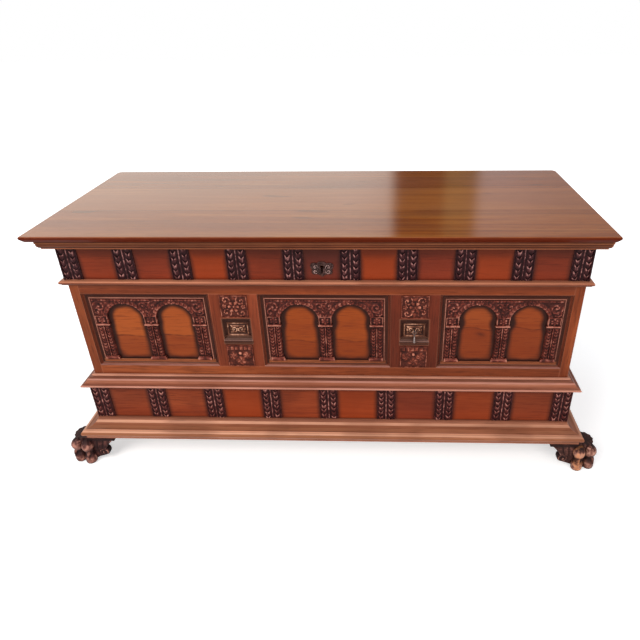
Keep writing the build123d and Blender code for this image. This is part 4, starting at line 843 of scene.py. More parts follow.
def arcade_carving(u, v, half):
    """Arch plate: shafts with scales, square capitals with a flower, leaves round each arch, scrolled leaves
    in the spandrels, a flower over each crown and small leaves along the top.

    Gives the height, and the height as it was before the arches were cut through, for the carve mark, which
    paints grime and shade in the hollows and highlights on the crests."""
    middle = arch_setting(half)[1]
    outer = half - SHAFT_HALF
    column = u - outer * np.clip(np.round(u / outer), -1, 1)
    side = np.abs(column)
    away = -arch_inset(u, v, half)

    plain = (v > CAPITAL_TOP) & (away > RING_WIDTH)
    spandrel = spandrel_leaves(u, v, half) + 0.5 * ripple(u, v, pitch=11.0, seed=8)
    face = np.where(plain, spandrel, arch_leaves(u, v, away, half))
    top_row = 1.4 + 1.6 * leaf_row(u / TOP_LEAF_PITCH, (v - ARCADE_HEIGHT + 3.5) / 4, lean=0)
    face = np.where((v > ARCADE_HEIGHT - TOP_LEAVES) & (np.abs(u) < half - 2.2), top_row, face)
    over_crown = v - (CROWN_RISE + CROWN_FLOWER_RISE)
    flower = rosette(np.abs(u) - middle, over_crown, radius=9.5, petals=5, turn=0.3)
    face = np.maximum(face, 3.9 * flower)
    face = np.where(v < CAPITAL_RISE - ABACUS_HEIGHT, shaft_scales(v, column), face)
    in_capital = (v >= CAPITAL_RISE) & (v < CAPITAL_TOP) & (side < SHAFT_HALF)
    face = np.where(in_capital, capital_flower(v, column), face)

    carved = BAR_STAND + face + 0.3 * ripple(u, v, pitch=6.0, seed=9)
    height = -1.0 + (carved + 1.0) * np.clip(away / 1.6 + 0.6, 0, 1)

    abacus = (v >= CAPITAL_RISE - ABACUS_HEIGHT) & (v < CAPITAL_RISE) & (side < SHAFT_HALF + ABACUS_SPREAD)
    step = np.clip((v - BASE_STEP) / 1.2, 0, 1)
    base = (v < COLUMN_BASE) & (side < SHAFT_HALF + BASE_SPREAD - 2.2 * step) & (np.abs(u) < half)
    foot = BAR_STAND + 4.5 - 1.3 * step
    return [np.where(base, foot, np.where(abacus, ABACUS_STAND, field)) for field in (height, carved)]


def field_marks(name, u, v, half):
    """Wear on the board inside the arches.

    Rim is grime and painted shadow, which fade inwards from the arch, the shafts and the sill and reach
    further at the top and on the left; lower is 1 below the joint, a slow wave across the board; joint is the
    open line along that wave, with a knot in one arch.
    """
    joint, pinch, left = FIELDS[name]
    radius, middle, _ = arch_setting(half)
    local = u - np.sign(u) * middle
    leftward = 0.5 - 0.5 * np.clip(local / radius, -1, 1)
    lean = 3.5 * np.clip(1.2 * v / CROWN_RISE, 0, 1) + left * leftward
    pinched = pinch * bell((v - CAPITAL_RISE - 4) / 20)
    inner = np.clip(arch_inset(u, v, half) - lean - pinched, 0.3, None)
    sill = np.clip(1.15 * v, 0.3, None)
    rounded = (inner**-1.2 + sill**-1.2) ** (-1 / 1.2)
    fade = np.clip((rounded - 1.0 + 1.5 * ripple(u, v, pitch=45, seed=5)) / GRIME_AND_SHADOW_REACH, 0, 1)
    wave = joint + 1.5 * np.sin(u / 19) * (1 + 0.25 * pinch) + 3 * (u > 0)
    knot = np.exp(-(((v - wave + 17) / 7) ** 2 + ((local - 12) / 13) ** 2)) * (u < 0) * (pinch > 7)
    line = bell((v - wave) / 1.6) * (0.55 + 0.45 * np.sin(u / 9) ** 2)
    return {
        "rim": np.clip(1 - fade * fade * (3 - 2 * fade), 0, 1),
        "lower": np.clip((wave - v) / 3 + 0.5, 0, 1),
        "joint": np.clip(0.75 * line + 0.6 * knot, 0, 1),
    }


def arcade(name, finish, field_finish):
    """Carved arcade over a panel, and the bright field seen in its arches."""
    x, half = middle_and_half(name, 0)
    across = np.linspace(-half, half, int(2 * half / ARCADE_CELL) | 1)
    up = np.linspace(0, ARCADE_HEIGHT, ARCADE_ROWS)
    place = facing_front(x, PANEL_FACE, ARCADE_FOOT)
    height, uncut = arcade_carving(*np.meshgrid(across, up, indexing="ij"), half)
    made = slab(across, up, height, 1.0, place, {"carve": carve_mark(uncut, reach=4, amount=4.8)})
    piece = make_piece("carved_" + name, made, finish, "case")
    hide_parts(name)

    across, up = across[::2], up[::2]
    grid_u, grid_v = np.meshgrid(across, up, indexing="ij")
    flat = np.full_like(grid_u, 0.25)
    made = slab(across, up, flat, 0.5, place, field_marks(name, grid_u, grid_v, half))
    make_piece(name.replace("arcade", "arch_field"), made, field_finish, "case")


# ---------------------------------------------------------------- muntin blocks
def flower_block(u, v, half_height):
    """Upper block: a flower between four scrolls inside a raised border."""
    height = 0.35 * ripple(u, v, pitch=8.0, seed=21) + 0.6
    height = np.maximum(height, 3.9 * rosette(u, v, radius=17.5, petals=6))
    for sx in (-1, 1):
        for sy in (-1, 1):
            v_out = sy * v - (half_height - 16)
            scroll = curl(sx * u - 21, v_out, radius=15.5, turns=1.3, hand=sx * sy, start=0.8)
            height = np.maximum(height, 3.4 * scroll)
        height = np.maximum(height, 2.8 * rosette(u - sx * 27, v, radius=7.5, petals=5))
    return height


def orb_block(u, v, half_height):
    """Lower block: three broad round leaves about a small knob, under a row of leaf tips."""
    height = 0.27 * ripple(u, v, pitch=7.0, seed=22) + 0.7
    for x, y, radius in ((-20, 1, 14.5), (20, 1, 14.5), (0, -16, 16.5)):
        reach = np.hypot(u - x, v - y) / radius
        swirl = 0.85 + 0.15 * np.cos(np.arctan2(v - y, u - x) * 6 + reach * 5)
        height = np.maximum(height, 3.8 * bump_row(reach) * swirl)
    height = np.maximum(height, 4.2 * bump_row(np.hypot(u, v - 9) / 5.5))
    leaves = leaf_row(u / 12.5, (v - half_height + 10) / 7, lean=0)
    return np.maximum(height, 3.2 * leaves * (v > half_height - 17))


def muntin_blocks(finish):
    """The four carved squares above and below the drawers, proud of the muntins."""
    slabs = []
    across = np.linspace(-BLOCK_WIDTH / 2, BLOCK_WIDTH / 2, 111)
    for carving, (foot, top) in ((flower_block, UPPER_BLOCK), (orb_block, LOWER_BLOCK)):
        half_height = (top - foot) / 2
        up = np.linspace(-half_height, half_height, 105)
        grid_u, grid_v = np.meshgrid(across, up, indexing="ij")
        line = np.minimum(BLOCK_WIDTH / 2 - np.abs(grid_u), half_height - np.abs(grid_v))
        border = 3.2 - 0.25 * (line < 0.8)
        for side in (-1, 1):
            height = np.minimum(carving(side * grid_u, grid_v, half_height) + 1.0, BLOCK_STAND)
            height = np.where(line < BLOCK_BORDER, border, height)
            marks = {"carve": carve_mark(height, reach=7, amount=5.0)}
            place = facing_front(side * MUNTIN_MIDDLE, CASE_FRONT, (foot + top) / 2)
            slabs.append(slab(across, up, height, 0, place, marks))
    piece = make_piece("flower_and_orb_blocks", joined(slabs), finish, "case")
    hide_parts("carved_blocks")


# ---------------------------------------------------------------- drawer fronts
LIP_WIDTH = 2.6
HOLLOW_WIDTH = 4.5
SWELL_WIDTH = 8.5
LIP_HEIGHT = 3.0
SWELL_HEIGHT = 4.9
LEAF_BAND_HALF = (23.0, 10.5)
CHASING_HALF = (8.5, 14.0)
CHASING_MIDDLE = 16.5
KEYHOLE_PLATE_THICKNESS = 2.0


def cushion_carving(u, v):
    """Drawer front: lip, hollow and a swelling band carved with scrolled leaves either side of a bud."""
    line = np.minimum(DRAWER_HALF_WIDTH - np.abs(u), DRAWER_REACH - np.abs(v))
    hollow = LIP_HEIGHT - LIP_HEIGHT * np.sin(np.clip((line - LIP_WIDTH) / HOLLOW_WIDTH, 0, 1) * np.pi / 2)
    cushion_from = LIP_WIDTH + HOLLOW_WIDTH
    swell = SWELL_HEIGHT * np.sin(np.clip((line - cushion_from) / SWELL_WIDTH, 0, 1) * np.pi / 2)
    height = np.where(line < cushion_from, hollow, swell)
    band_half_width, band_half_height = LEAF_BAND_HALF
    band = bump_row(v / band_half_height) * (np.abs(u) < band_half_width)
    scrolls = rosette(u, v, radius=5.2, petals=5)
    for hand in (1, -1):
        scrolls = np.maximum(scrolls, curl(hand * u - 10.5, v, radius=9.5, turns=1.3, hand=1, start=0.6))
    scrolls = np.maximum(scrolls, leaf_row(np.abs(u) / 7.5, v / 5.5, lean=0.4) * (np.abs(u) > 18))
    return np.clip(height + band * (3.2 * scrolls - 1.7), 0.0, DRAWER_STAND)


def drawer_fronts(finish):
    """Both drawer fronts as closed carved blocks in the places of their plain ones."""
    across = np.linspace(-DRAWER_HALF_WIDTH, DRAWER_HALF_WIDTH, 97)
    up = np.linspace(-DRAWER_REACH, DRAWER_REACH, 71)
    height = cushion_carving(*np.meshgrid(across, up, indexing="ij"))
    marks = {"carve": carve_mark(height, reach=5, amount=4.0)}
    for side, word in ((-1, "left"), (1, "right")):
        depth = edges_of("drawer_front_" + word, 1)[1] - DRAWER_GROUND
        place = facing_front(side * MUNTIN_MIDDLE, DRAWER_GROUND, DRAWER_MIDDLE)
        made = slab(across, up, height, depth, place, marks)
        piece = make_piece("carved_drawer_front_" + word, made, finish, "drawer_" + word)
        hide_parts("drawer_front_" + word)


def keyhole_relief(finish):
    """Chased ornament on the keyhole plate: two scrolls on a raised strip either side of the keyhole."""
    half_width, half_height = CHASING_HALF
    slabs = []
    across = np.linspace(-half_width, half_width, 36)
    up = np.linspace(-half_height, half_height, 58)
    grid_u, grid_v = np.meshgrid(across, up, indexing="ij")
    line = np.minimum(half_width - np.abs(grid_u), half_height - np.abs(grid_v))
    edge = np.clip(line / 1.2, 0, 1)
    for side in (-1, 1):
        upper = curl(side * grid_u, grid_v - 5.5, radius=8.5, turns=1.2, hand=1, start=0.5)
        lower = curl(side * grid_u, grid_v + 6, radius=7.5, turns=1.2, hand=-1, start=1.9)
        height = 0.15 + (0.25 + 1.4 * np.maximum(upper, lower)) * edge
        marks = {"carve": carve_mark(height, reach=3, amount=1.5)}
        place = facing_front(side * CHASING_MIDDLE, CASE_FRONT - KEYHOLE_PLATE_THICKNESS, KEYHOLE_MIDDLE)
        slabs.append(slab(across, up, height, 0.3, place, marks))
    make_piece("keyhole_plate_chasing", joined(slabs), finish, "case")


# ---------------------------------------------------------------- paw feet, worked for the right side
FOOT_TOP = 92.0
HEEL = (775.0, -272.5)
HEEL_RADIUS = 31.0

# Place of each toe, and the way that it leans and points.
TOES = (((760.0, -305.5), (-0.2, -0.98)), ((797.0, -296.5), (0.6, -0.8)), ((792.5, -259.5), (0.98, 0.2)))

# Rings of a toe from the floor up: height, lean of the middle, radius.
TOE_RINGS = (
    (0, 0, 11.0),
    (1.6, 0, 14.6),
    (6, 0, 16.6),
    (15, 0, 17.0),
    (24, 0, 16.4),
    (31, -1.0, 13.6),
    (37, -2.4, 11.4),
    (43, -2.4, 12.0),
    (51, -0.8, 15.4),
    (60, 0, 17.5),
    (67, 0, 17.5),
    (74, -1.6, 15.9),
    (81, -5.5, 12.0),
    (87, -10, 7.0),
)
# Claw: distance out from the toe's middle and height, and the radii along it.
CLAW_STEPS = ((4, 47), (9.5, 43), (12.6, 36), (14.8, 28), (16.4, 20))
CLAW_RADII = (4.6, 5.2, 4.6, 2.8, 0.8)
# Tufts outside the moulding's corner: where each starts and ends from front to back, and its top.
TUFTS = ((-287, -298, 88), (-277, -283, 92), (-266, -266, 91), (-256, -251, 87))
TUFT_OUT = (767, 775, 784, 791, 794)
TUFT_RADII = (3.0, 6.2, 8.4, 9.0, 7.0)

WING_SPAN = 84.0
WING_THICKNESS = 22.0
WING_FOOT = 6.5
# Edge of the bracket: heights, and how far the edge is from the tip at each.
WING_HEIGHTS = (6, 24, 48, 88, 92)
WING_SLOPE = (84, 34, 34, 0, 0)
WING_TIP = edges_of("paw_foot_right", 0)[0]
WING_FACE = -303.5
END_WING_FACE = 757.0
END_WING_TIP = edges_of("paw_foot_right", 1)[1]


def round_rings(x, y, z):
    """Level rings of points: x and y hold a row for each height in z."""
    return np.stack((x, y, np.broadcast_to(z[:, None], x.shape)), axis=-1)


def around(count):
    """Angles of that many even steps of a whole turn."""
    return np.linspace(0, 2 * np.pi, count, endpoint=False)


def closed_tube(rings, start, end):
    """Closed skin over rings of points (rows, around, 3), its ends drawn to two points."""
    number = np.arange(rings[..., 0].size).reshape(rings.shape[:2])
    wrapped = np.concatenate((number, number[:, :1]), axis=1)
    corners = (wrapped[:-1, :-1], wrapped[:-1, 1:], wrapped[1:, 1:], wrapped[1:, :-1])
    quads = np.stack(corners, axis=-1).reshape(-1, 4)
    first = np.full_like(number[0], number.size)
    foot = np.stack((wrapped[0, 1:], wrapped[0, :-1], first), axis=1)
    head = np.stack((wrapped[-1, :-1], wrapped[-1, 1:], first + 1), axis=1)
    return np.vstack((rings.reshape(-1, 3), start, end)), [quads, foot, head]


def tube_mark(values, start, end):
    """Carve mark of a closed tube: one number for each ring point, and one for each of its two ends."""
    return {"carve": np.append(values.ravel(), (start, end))}


def eased(table, count):
    """Rows of a table joined by a Catmull-Rom curve, read at count even steps."""
    table = np.asarray(table, float)
    padded = np.vstack((2 * table[0] - table[1], table, 2 * table[-1] - table[-2]))
    at = np.linspace(0, len(table) - 1 - 1e-9, count)
    i = at.astype(int)
    t = (at - i)[:, None]
    p0, p1, p2, p3 = padded[i], padded[i + 1], padded[i + 2], padded[i + 3]
    curve = 2 * p1 + (p2 - p0) * t + (2 * p0 - 5 * p1 + 4 * p2 - p3) * t**2
    return 0.5 * (curve + (3 * p1 - p0 - 3 * p2 + p3) * t**3)


def toe(place, lead):
    """Toe: level rings whose middles lean along lead and whose radius is grooved like fur on the knuckle."""
    z, lean, radius = eased(TOE_RINGS, 60).T
    angle = around(56)
    fore = np.cos(angle - math.atan2(lead[1], lead[0]))
    fur = (np.clip((z - 46) / 20, 0, 1) * np.clip((z - 62) / 16, 0, 1))[:, None]
    groove = np.cos(angle * 9) * fur * 0.03
    crease = -0.05 * bell((z - 14) / 9)[:, None] * bell((1 - fore) / 0.03)
    reach = radius[:, None] * (1 - 0.035 * fur + groove + crease)
    x = place[0] + lean[:, None] * lead[0] + reach * np.cos(angle)
    y = place[1] + lean[:, None] * lead[1] + reach * np.sin(angle)
    rings = round_rings(x, y, z)
    points, blocks = closed_tube(rings, rings[0].mean(axis=0), rings[-1].mean(axis=0) + (0, 0, 2.0))
    # Knuckles and pads, where the toe swells, get a higher carve mark and so the crest's painted highlight.
    swell = (radius - 13.5)[:, None] / 5
    mark = 0.42 + 0.5 * swell + 2.5 * (groove + crease)
    return points, blocks, tube_mark(np.clip(mark, 0, 1), 0.2, 0.4)


def horn(path, radii, points_round=20, flute=0.0):
    """Tapered tube along a path, for claws and tufts: rings square to the path, with optional flutes."""
    steps = 26
    path, radii = eased(path, steps), eased(np.asarray(radii, float)[:, None], steps)
    along = np.gradient(path, axis=0)
    along /= np.linalg.norm(along, axis=1, keepdims=True)
    side = np.cross(along, (0.31, 0.17, 0.93))
    side /= np.linalg.norm(side, axis=1, keepdims=True)
    over = np.cross(along, side)
    angle = around(points_round)[None, :, None]
    ridge = 1 + flute * np.cos(angle * 5)
    out = side[:, None, :] * np.cos(angle) + over[:, None, :] * np.sin(angle)
    points, blocks = closed_tube(path[:, None, :] + radii[:, None, :] * ridge * out, path[0], path[-1])
    mark = np.broadcast_to(0.62 + 3 * (ridge[..., 0] - 1), (steps, points_round))
    return points, blocks, tube_mark(np.clip(mark, 0, 1), 0.4, 0.7)


def claw(place, lead):
    """Claw under a knuckle, curling down over the pad."""
    path = [(place[0] + out * lead[0], place[1] + out * lead[1], z) for out, z in CLAW_STEPS]
    return horn(path, CLAW_RADII)


def wing_edge(z):
    """Distance of the bracket's edge from its tip: a slope to the scroll, the scroll's bulge, then in to
    the paw."""
    slope = np.interp(z, WING_HEIGHTS, WING_SLOPE)
    bulge = 6 * bump_row((z - 36) / 12) - 3 * np.sin(np.clip((z - 48) / 40, 0, 1) * np.pi)
    return slope - bulge


def wing(place):
    """Acanthus bracket: level rings round a thin section, the outer face fluted like a leaf and scrolled
    below. The flutes fan out from a point past the paw; the edge is rounded back."""
    z = np.linspace(WING_FOOT, FOOT_TOP, 76)
    edge = wing_edge(z)[:, None]
    a = WING_SPAN + (edge - WING_SPAN) * np.linspace(0, 1, 44)
    z = np.broadcast_to(z[:, None], a.shape)
    fan = (a - WING_SPAN) / (10 + 0.16 * (z + 10))
    flutes = np.abs(np.cos(fan * np.pi * 1.3)) ** 0.5 * np.clip((z - 40) / 10, 0, 1)
    scroll = curl(a - 46, z - 34, radius=17, turns=1.4, hand=1, start=2.0)
    rounding = 1 - np.sqrt(np.clip((a - edge) / 3.5, 0, 1))
    carved = np.maximum(2.6 * flutes, 2.8 * scroll) + 0.2 * ripple(a, z, pitch=5, seed=13)
    height = carved - 3.0 - 3.5 * rounding
    front = np.stack((a, z, height), axis=-1)
    back = np.stack((a[:, ::-1], z, np.full_like(a, -WING_THICKNESS)), axis=-1)
    rings = np.concatenate((front, back), axis=1)
    marks = np.concatenate((0.8 * carve_mark(height, reach=2, amount=2.6), np.full_like(a, 0.2)), axis=1)
    local, blocks = closed_tube(rings, rings[0].mean(axis=0), rings[-1].mean(axis=0))
    return place(*local.T), blocks, tube_mark(marks, 0.3, 0.3)


def heel():
    """Heel post with furrowed sides, drawn in a little at half height."""
    z = np.linspace(0.3, FOOT_TOP - 0.5, 40)
    angle = around(72)
    furrow = 0.04 * np.cos(angle * 12)
    radius = HEEL_RADIUS - 2.0 * np.sin(z / FOOT_TOP * np.pi)
    reach = radius[:, None] * (1 - 0.02 + furrow)
    rings = round_rings(HEEL[0] + reach * np.cos(angle), HEEL[1] + reach * np.sin(angle), z)
    points, blocks = closed_tube(rings, (*HEEL, 0.0), (*HEEL, FOOT_TOP))
    mark = np.broadcast_to(0.35 + 4 * furrow, reach.shape)
    return points, blocks, tube_mark(np.clip(mark, 0, 1), 0.2, 0.2)


def tuft(start, end, top):
    """Tuft of hair that rises outside the moulding's corner and falls to the knuckle."""
    back = (start, start, (start + end) / 2, end, end)
    high = (top, top - 5, top - 16, 76, 64)
    return horn(list(zip(TUFT_OUT, back, high)), TUFT_RADII, points_round=22, flute=0.05)


def bracket_rail():
    """Plain rail with a rounded face that closes the bracket's top under the moulding."""
    height = 9.8
    across, up = np.linspace(0, WING_SPAN + 1, 60), np.linspace(0, height, 9)
    grid_v = np.meshgrid(across, up, indexing="ij")[1]
    edge = -0.9 * (1 - bump_row((grid_v - height / 2) / 5.4))
    place = facing_front(WING_TIP, WING_FACE, FOOT_TOP - 10)
    # Carve mark held low: the rail is painted dark as shade under the moulding.
    return slab(across, up, edge, WING_SPAN, place, {"carve": 0.15 + 0 * edge})


def paw_foot(word, side, finish):
    """Paw under one front corner, mirrored for the left. The right paw's first toe and claw keep gilding."""
    first, *others = TOES
    parts = [toe(*first), claw(*first), heel(), *(tuft(*place) for place in TUFTS)]
    for other in others:
        parts += [toe(*other), claw(*other)]
    parts.append(wing(lambda a, z, h: np.stack((WING_TIP + a, WING_FACE - h, z), axis=-1)))
    parts.append(wing(lambda a, z, h: np.stack((END_WING_FACE + h, END_WING_TIP - a, z), axis=-1)))
    parts.append(bracket_rail())
    for number, (points, _, marks) in enumerate(parts):
        marks["gilt"] = np.full(len(points), float(side > 0 and number < 2))
    points, blocks, marks = joined(parts)
    if side < 0:
        points = points * (-1, 1, 1)
        blocks = [block[:, ::-1] for block in blocks]
    piece = make_piece("lion_paw_" + word, (points, blocks, marks), finish, "case", 60)
    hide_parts("paw_foot_" + word)


# ---------------------------------------------------------------- finishes for the joined work
UPPER_FRIEZE_LOT = 1336
LOWER_FRIEZE_LOT = 2329
KEYHOLE_LOT = 23
PULL_BRIGHT_BELOW = 436


def finish_joined_work():
    """Give every piece that stays as the joiner made it a finish, with the grain along its length.

    A piece takes the first finish whose words its name starts with, and an inner board's where none fits.
    """
    top_rail = waxed_wood("top_rail_walnut", RED_BROWN, "X", 2, painted_bands=RAIL_PAINTED_SHADOW)
    keyhole_board = waxed_wood(
        "keyhole_board_walnut", KEYHOLE_DARK, "X", 9, bays=UPPER_BARS, planks=KEYHOLE_LOT
    )
    upper_frieze = waxed_wood(
        "upper_frieze_walnut", DEEP_RED, "X", 10, fade=0.3, bays=UPPER_BARS, planks=UPPER_FRIEZE_LOT
    )
    lower_frieze = waxed_wood(
        "lower_frieze_walnut", PLINTH_RED, "X", 11,
        fade=0.5, bays=LOWER_BARS, planks=LOWER_FRIEZE_LOT, overhang=26.0,
    )
    all_painted_bands = ASTRAGAL_PAINTED_LIGHT + WAIST_PAINTED_LIGHT + BASE_PAINTED_LIGHT
    front_moulding = waxed_wood(
        "moulding_walnut", RAIL_TONES, "X", 12,
        sheen=0.34, dirt_and_shade=0.35, wear=0.3, painted_bands=ASTRAGAL_PAINTED_LIGHT + WAIST_PAINTED_LIGHT,
    )
    lip = waxed_wood(
        "lid_moulding_walnut", LIP_TONES, "X", 13, sheen=0.4, dirt_and_shade=0.9, wear=0.3, painted_bands=LID_MOULDING_PAINTED_LIGHT
    )
    plinth = waxed_wood("plinth_walnut", PLINTH_TONES, "X", 14, sheen=0.34, dirt_and_shade=0.25, painted_bands=BASE_PAINTED_LIGHT)
    # The drawer surround's dark tones are painted shade in the recess round the drawers.
    surround = waxed_wood(
        "surround_walnut", SURROUND_PAINTED_SHADE_TONES, "X", 18, sheen=0.34, dirt_and_shade=1.0, wear=0.25, painted_bands=SILL_PAINTED_LIGHT
    )
    panel_edges = [("panel_moulding_" + word, panel_edge(word)) for word in ("left", "centre", "right")]
    kinds = (
        ("lid_board", polished_top("polished_lid")),
        ("top_rail", top_rail),
        ("bottom_rail", waxed_wood("bottom_rail_walnut", ORANGE_BROWN, "X", 3)),
        ("stile_left", waxed_wood("left_stile_walnut", ORANGE_BROWN, "Z", 5)),
        ("stile_right", waxed_wood("right_stile_walnut", RED_BROWN, "Z", 6)),
        ("muntin_left", waxed_wood("left_muntin_walnut", LEFT_MUNTIN_TONES, "Z", 7)),
        ("muntin_right", waxed_wood("right_muntin_walnut", RIGHT_MUNTIN_TONES, "Z", 8)),
        ("keyhole_board", keyhole_board),
        ("upper_frieze_board", upper_frieze),
        ("lower_frieze_front", lower_frieze),
        (("astragal_front", "waist_moulding_front"), front_moulding),
        ("lid_moulding", lip),
        ("base_moulding_front", plinth),
        (("astragal", "waist", "base"), waxed_wood("return_walnut", RETURN_TONES, "Y", 16, painted_bands=all_painted_bands)),
        (("end_board", "lower_frieze"), waxed_wood("end_walnut", RED_BROWN, "Y", 15)),
        *panel_edges,
        ("panel", top_rail),
        ("drawer_surround", surround),
        ("keyhole_escutcheon", forged_iron("keyhole_plate_iron", (44, 28, 26), (92, 66, 62), 0.5)),
        (("lock", "hinge", "pull", "lid_staple"), forged_iron("dark_iron", (38, 35, 36), (84, 78, 76))),
        ("drop_pull", forged_iron("worn_iron", (132, 118, 114), (214, 200, 196), 0.3, PULL_BRIGHT_BELOW)),
        ("rear_feet", waxed_wood("rear_foot_walnut", REAR_FOOT_TONES, "Z", 21, sheen=0.55)),
        (("drawer_box", "drawer_tunnel", "lid_battens"), raw_board("inner_board_deep", "Y", 20)),
        ("", raw_board("inner_board_long", "X", 19)),
    )
    for name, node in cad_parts.items():
        finish = next(found for words, found in kinds if name.startswith(words))
        node.data.materials.clear()
        node.data.materials.append(finish)


# ---------------------------------------------------------------- studio, in metres
FLOOR_HALF = 14.0
WALL_Y = 2.6
WALL_HALF = 4.0
WALL_FOOT, WALL_TOP = 0.8, 2.6
WALL_GLOW = 2.0
# Place along the wall, brightness and hue.
WALL_SHADES = (
    (-0.1, 1.75, (1.0, 0.93, 0.84)),
    (0.2, 1.55, (1.0, 0.91, 0.82)),
    (0.27, 0.16, (1.0, 0.5, 0.2)),
    (0.6, 0.22, (1.0, 0.5, 0.2)),
    (0.66, 0.5, (1.0, 0.7, 0.3)),
    (0.84, 0.42, (1.0, 0.7, 0.35)),
    (0.92, 1.0, (1.0, 0.85, 0.8)),
    (1.5, 0.75, (1.0, 0.82, 0.76)),
    (2.6, 0.45, (1.0, 0.8, 0.7)),
)
LAMP_TARGET = (0, -0.2, 0.4)
ROOM_LIGHT = (0.93, 0.96, 1.0, 1)
ROOM_STRENGTH = 0.5
WHITE = (1, 1, 1, 1)
BLACK = (0, 0, 0, 1)

EYE = (0.1617, -1.5949, 1.2592)
YAW, PITCH, ROLL = (math.radians(angle) for angle in (-2.363, 29.7244, -0.8606))
SENSOR_WIDTH = 36.0
FOCAL_LENGTH = 31.3165
LENS_SHIFT = -0.06668


def stage_sheet(name, corners, finish):
    """One flat face that belongs to the studio."""
    mesh = bpy.data.meshes.new(name)
    mesh.from_pydata(corners, [], [(0, 1, 2, 3)])
    mesh.materials.append(finish)
    sheet = place_object(name, mesh)
    return sheet


def pale_floor():
    """Pale floor that keeps the shadow, and glows to the eye further out, so that it ends in white."""
    bench = Bench("pale_floor")
    away = bench.put("ShaderNodeVectorMath", {0: bench.place}, operation="LENGTH").outputs["Value"]
    fade = {"Value": away, "From Min": 0.9, "From Max": 2.6, "To Min": 0.46, "To Max": 1.0}
    fade = bench.put("ShaderNodeMapRange", fade).outputs[0]
    seen = bench.put("ShaderNodeLightPath", {}).outputs["Is Camera Ray"]
    bench.set(Base_Color=(0.9, 0.9, 0.9, 1), Roughness=0.9, Specular_IOR_Level=0.0)
    bench.set(Emission_Color=WHITE, Emission_Strength=bench.times(seen, fade))
    half = FLOOR_HALF
    corners = [(-half, -half, 0), (half, -half, 0), (half, half, 0), (-half, half, 0)]
    stage_sheet("floor", corners, bench.finish)


def room_wall():
    """Wall behind the chest, seen only in its polish: bright to the left of a dark doorway, dimmer to the
    right."""
    bench = Bench("wall_glow")
    inputs = {"Value": bench.axes()[0], "From Min": -WALL_HALF, "From Max": WALL_HALF}
    share = bench.put("ShaderNodeMapRange", inputs).outputs[0]
    shades = [
        ((x + WALL_HALF) / (2 * WALL_HALF), (*(level / WALL_GLOW * np.array(hue)), 1.0))
        for x, level, hue in WALL_SHADES
    ]
    bench.set(Base_Color=BLACK, Specular_IOR_Level=0.0)
    bench.set(Emission_Color=bench.scale(share, shades), Emission_Strength=WALL_GLOW)
    half, low, high = WALL_HALF, WALL_FOOT, WALL_TOP
    corners = [(-half, WALL_Y, low), (half, WALL_Y, low), (half, WALL_Y, high), (-half, WALL_Y, high)]
    wall = stage_sheet("room_wall", corners, bench.finish)
    for kind in ("camera", "diffuse", "transmission", "shadow", "volume_scatter"):
        setattr(wall, "visible_" + kind, False)


def soft_room():
    """Soft light from all round, and a white backdrop for the eye, for mirrors and through glass."""
    world = bpy.data.worlds.new("soft_room")
    bpy.context.scene.world = world
    world.use_nodes = True
    tree = world.node_tree
    tree.nodes.clear()
    rays = put_node(tree, "ShaderNodeLightPath", {}).outputs
    seen = rays["Is Camera Ray"]
    for ray in ("Is Glossy Ray", "Is Transmission Ray"):
        seen = put_node(tree, "ShaderNodeMath", {0: seen, 1: rays[ray]}, operation="MAXIMUM").outputs[0]
    room = put_node(tree, "ShaderNodeBackground", {"Color": ROOM_LIGHT, "Strength": ROOM_STRENGTH})
    white = put_node(tree, "ShaderNodeBackground", {"Color": WHITE})
    pick = put_node(tree, "ShaderNodeMixShader", {0: seen, 1: room.outputs[0], 2: white.outputs[0]})
    put_node(tree, "ShaderNodeOutputWorld", {0: pick.outputs[0]})


def lamp(name, place, width, height, power, colour):
    """Soft lamp, turned to face the middle of the chest's front."""
    data = bpy.data.lights.new(name, "AREA")
    data.shape = "RECTANGLE"
    data.size = width
    data.size_y = height
    data.energy = power
    data.color = colour
    light = place_object(name, data)
    light.location = place
    away = np.array(place, float) - np.array(LAMP_TARGET, float)
    turn = math.atan2(away[1], away[0]) + math.pi / 2
    light.rotation_euler = (math.acos(away[2] / np.linalg.norm(away)), 0, turn)


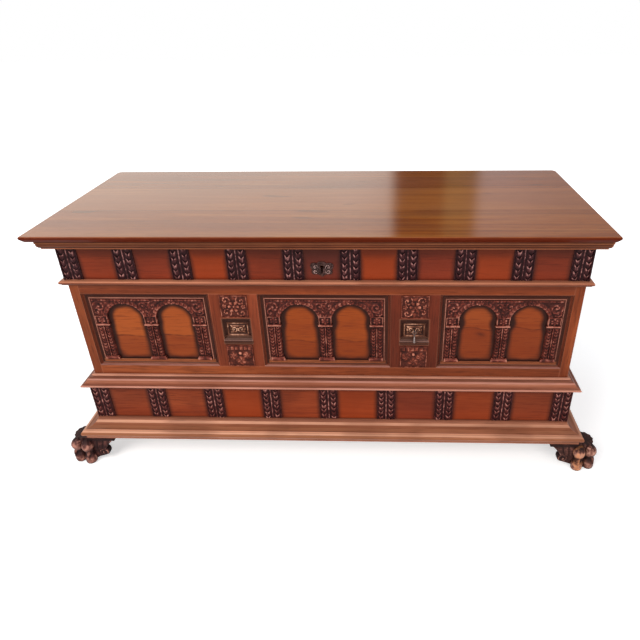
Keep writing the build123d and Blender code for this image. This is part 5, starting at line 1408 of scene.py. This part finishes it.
def camera():
    """Camera 1.26 m above the floor, a little right of the middle, looking down and slightly to the left."""
    level = math.cos(PITCH)
    ahead = np.array((math.sin(YAW) * level, math.cos(YAW) * level, -math.sin(PITCH)))
    right = np.array((math.cos(YAW), -math.sin(YAW), 0.0))
    up = np.cross(right, ahead)
    across = right * math.cos(ROLL) + up * math.sin(ROLL)
    above = -right * math.sin(ROLL) + up * math.cos(ROLL)
    data = bpy.data.cameras.new("camera")
    data.sensor_width = SENSOR_WIDTH
    data.lens = FOCAL_LENGTH
    data.shift_x = LENS_SHIFT
    viewer = place_object("camera", data)
    turned = Matrix((across, above, -ahead)).transposed().to_4x4()
    turned.translation = EYE
    viewer.matrix_world = turned
    bpy.context.scene.camera = viewer


# ---------------------------------------------------------------- the chest in its room
pale_floor()
soft_room()
lamp("window", (-1.9, -2.7, 2.7), 2.0, 2.0, 88, (1.0, 0.97, 0.93))
lamp("front_fill", (1.6, -3.2, 1.6), 2.2, 1.6, 46, (1.0, 0.96, 0.92))
room_wall()
camera()
finish_joined_work()

# Carved finishes: the deep tone is grime and painted shade in the hollows, and the last tone is the painted
# highlight on worn crests.
upper_bar_finish = carved_wood("bar_walnut", (18, 4, 8), (62, 26, 29), (172, 120, 114), 2, glint=1.0)
lower_bar_finish = carved_wood("plinth_bar_walnut", (25, 7, 9), (84, 35, 33), (184, 126, 114), 2, glint=1.0)
frieze_bars("carved_upper_frieze_bars", UPPER_BARS, upper_bar_finish)
frieze_bars("carved_lower_frieze_bars", LOWER_BARS, lower_bar_finish)

arcade_finish = carved_wood("arcade_walnut", (28, 9, 8), (106, 44, 33), (174, 112, 94), 3, glint=0.94)
for side_word, field_seed, field_light in (
    ("left", 31, (152, 73, 30)),
    ("centre", 32, (140, 63, 22)),
    ("right", 33, (136, 62, 27)),
):
    arcade("arcade_" + side_word, arcade_finish, arch_field("field_" + side_word, field_light, field_seed))

muntin_blocks(carved_wood("block_walnut", (34, 11, 8), (118, 54, 38), (198, 128, 104), 4))
drawer_fronts(carved_wood("drawer_walnut", (36, 17, 12), (110, 66, 46), (222, 170, 140), 6))
keyhole_relief(carved_wood("chased_iron", (24, 16, 15), (70, 50, 46), (186, 150, 144), 8))
left_paw_finish = carved_wood("left_paw_walnut", (26, 12, 14), (86, 48, 42), (176, 122, 106), 5)
right_paw_finish = carved_wood("right_paw_walnut", (28, 14, 14), (104, 64, 54), (196, 144, 124), 7, gilt=0.6)
paw_foot("left", -1, left_paw_finish)
paw_foot("right", 1, right_paw_finish)

bpy.context.scene.view_settings.view_transform = "Standard"
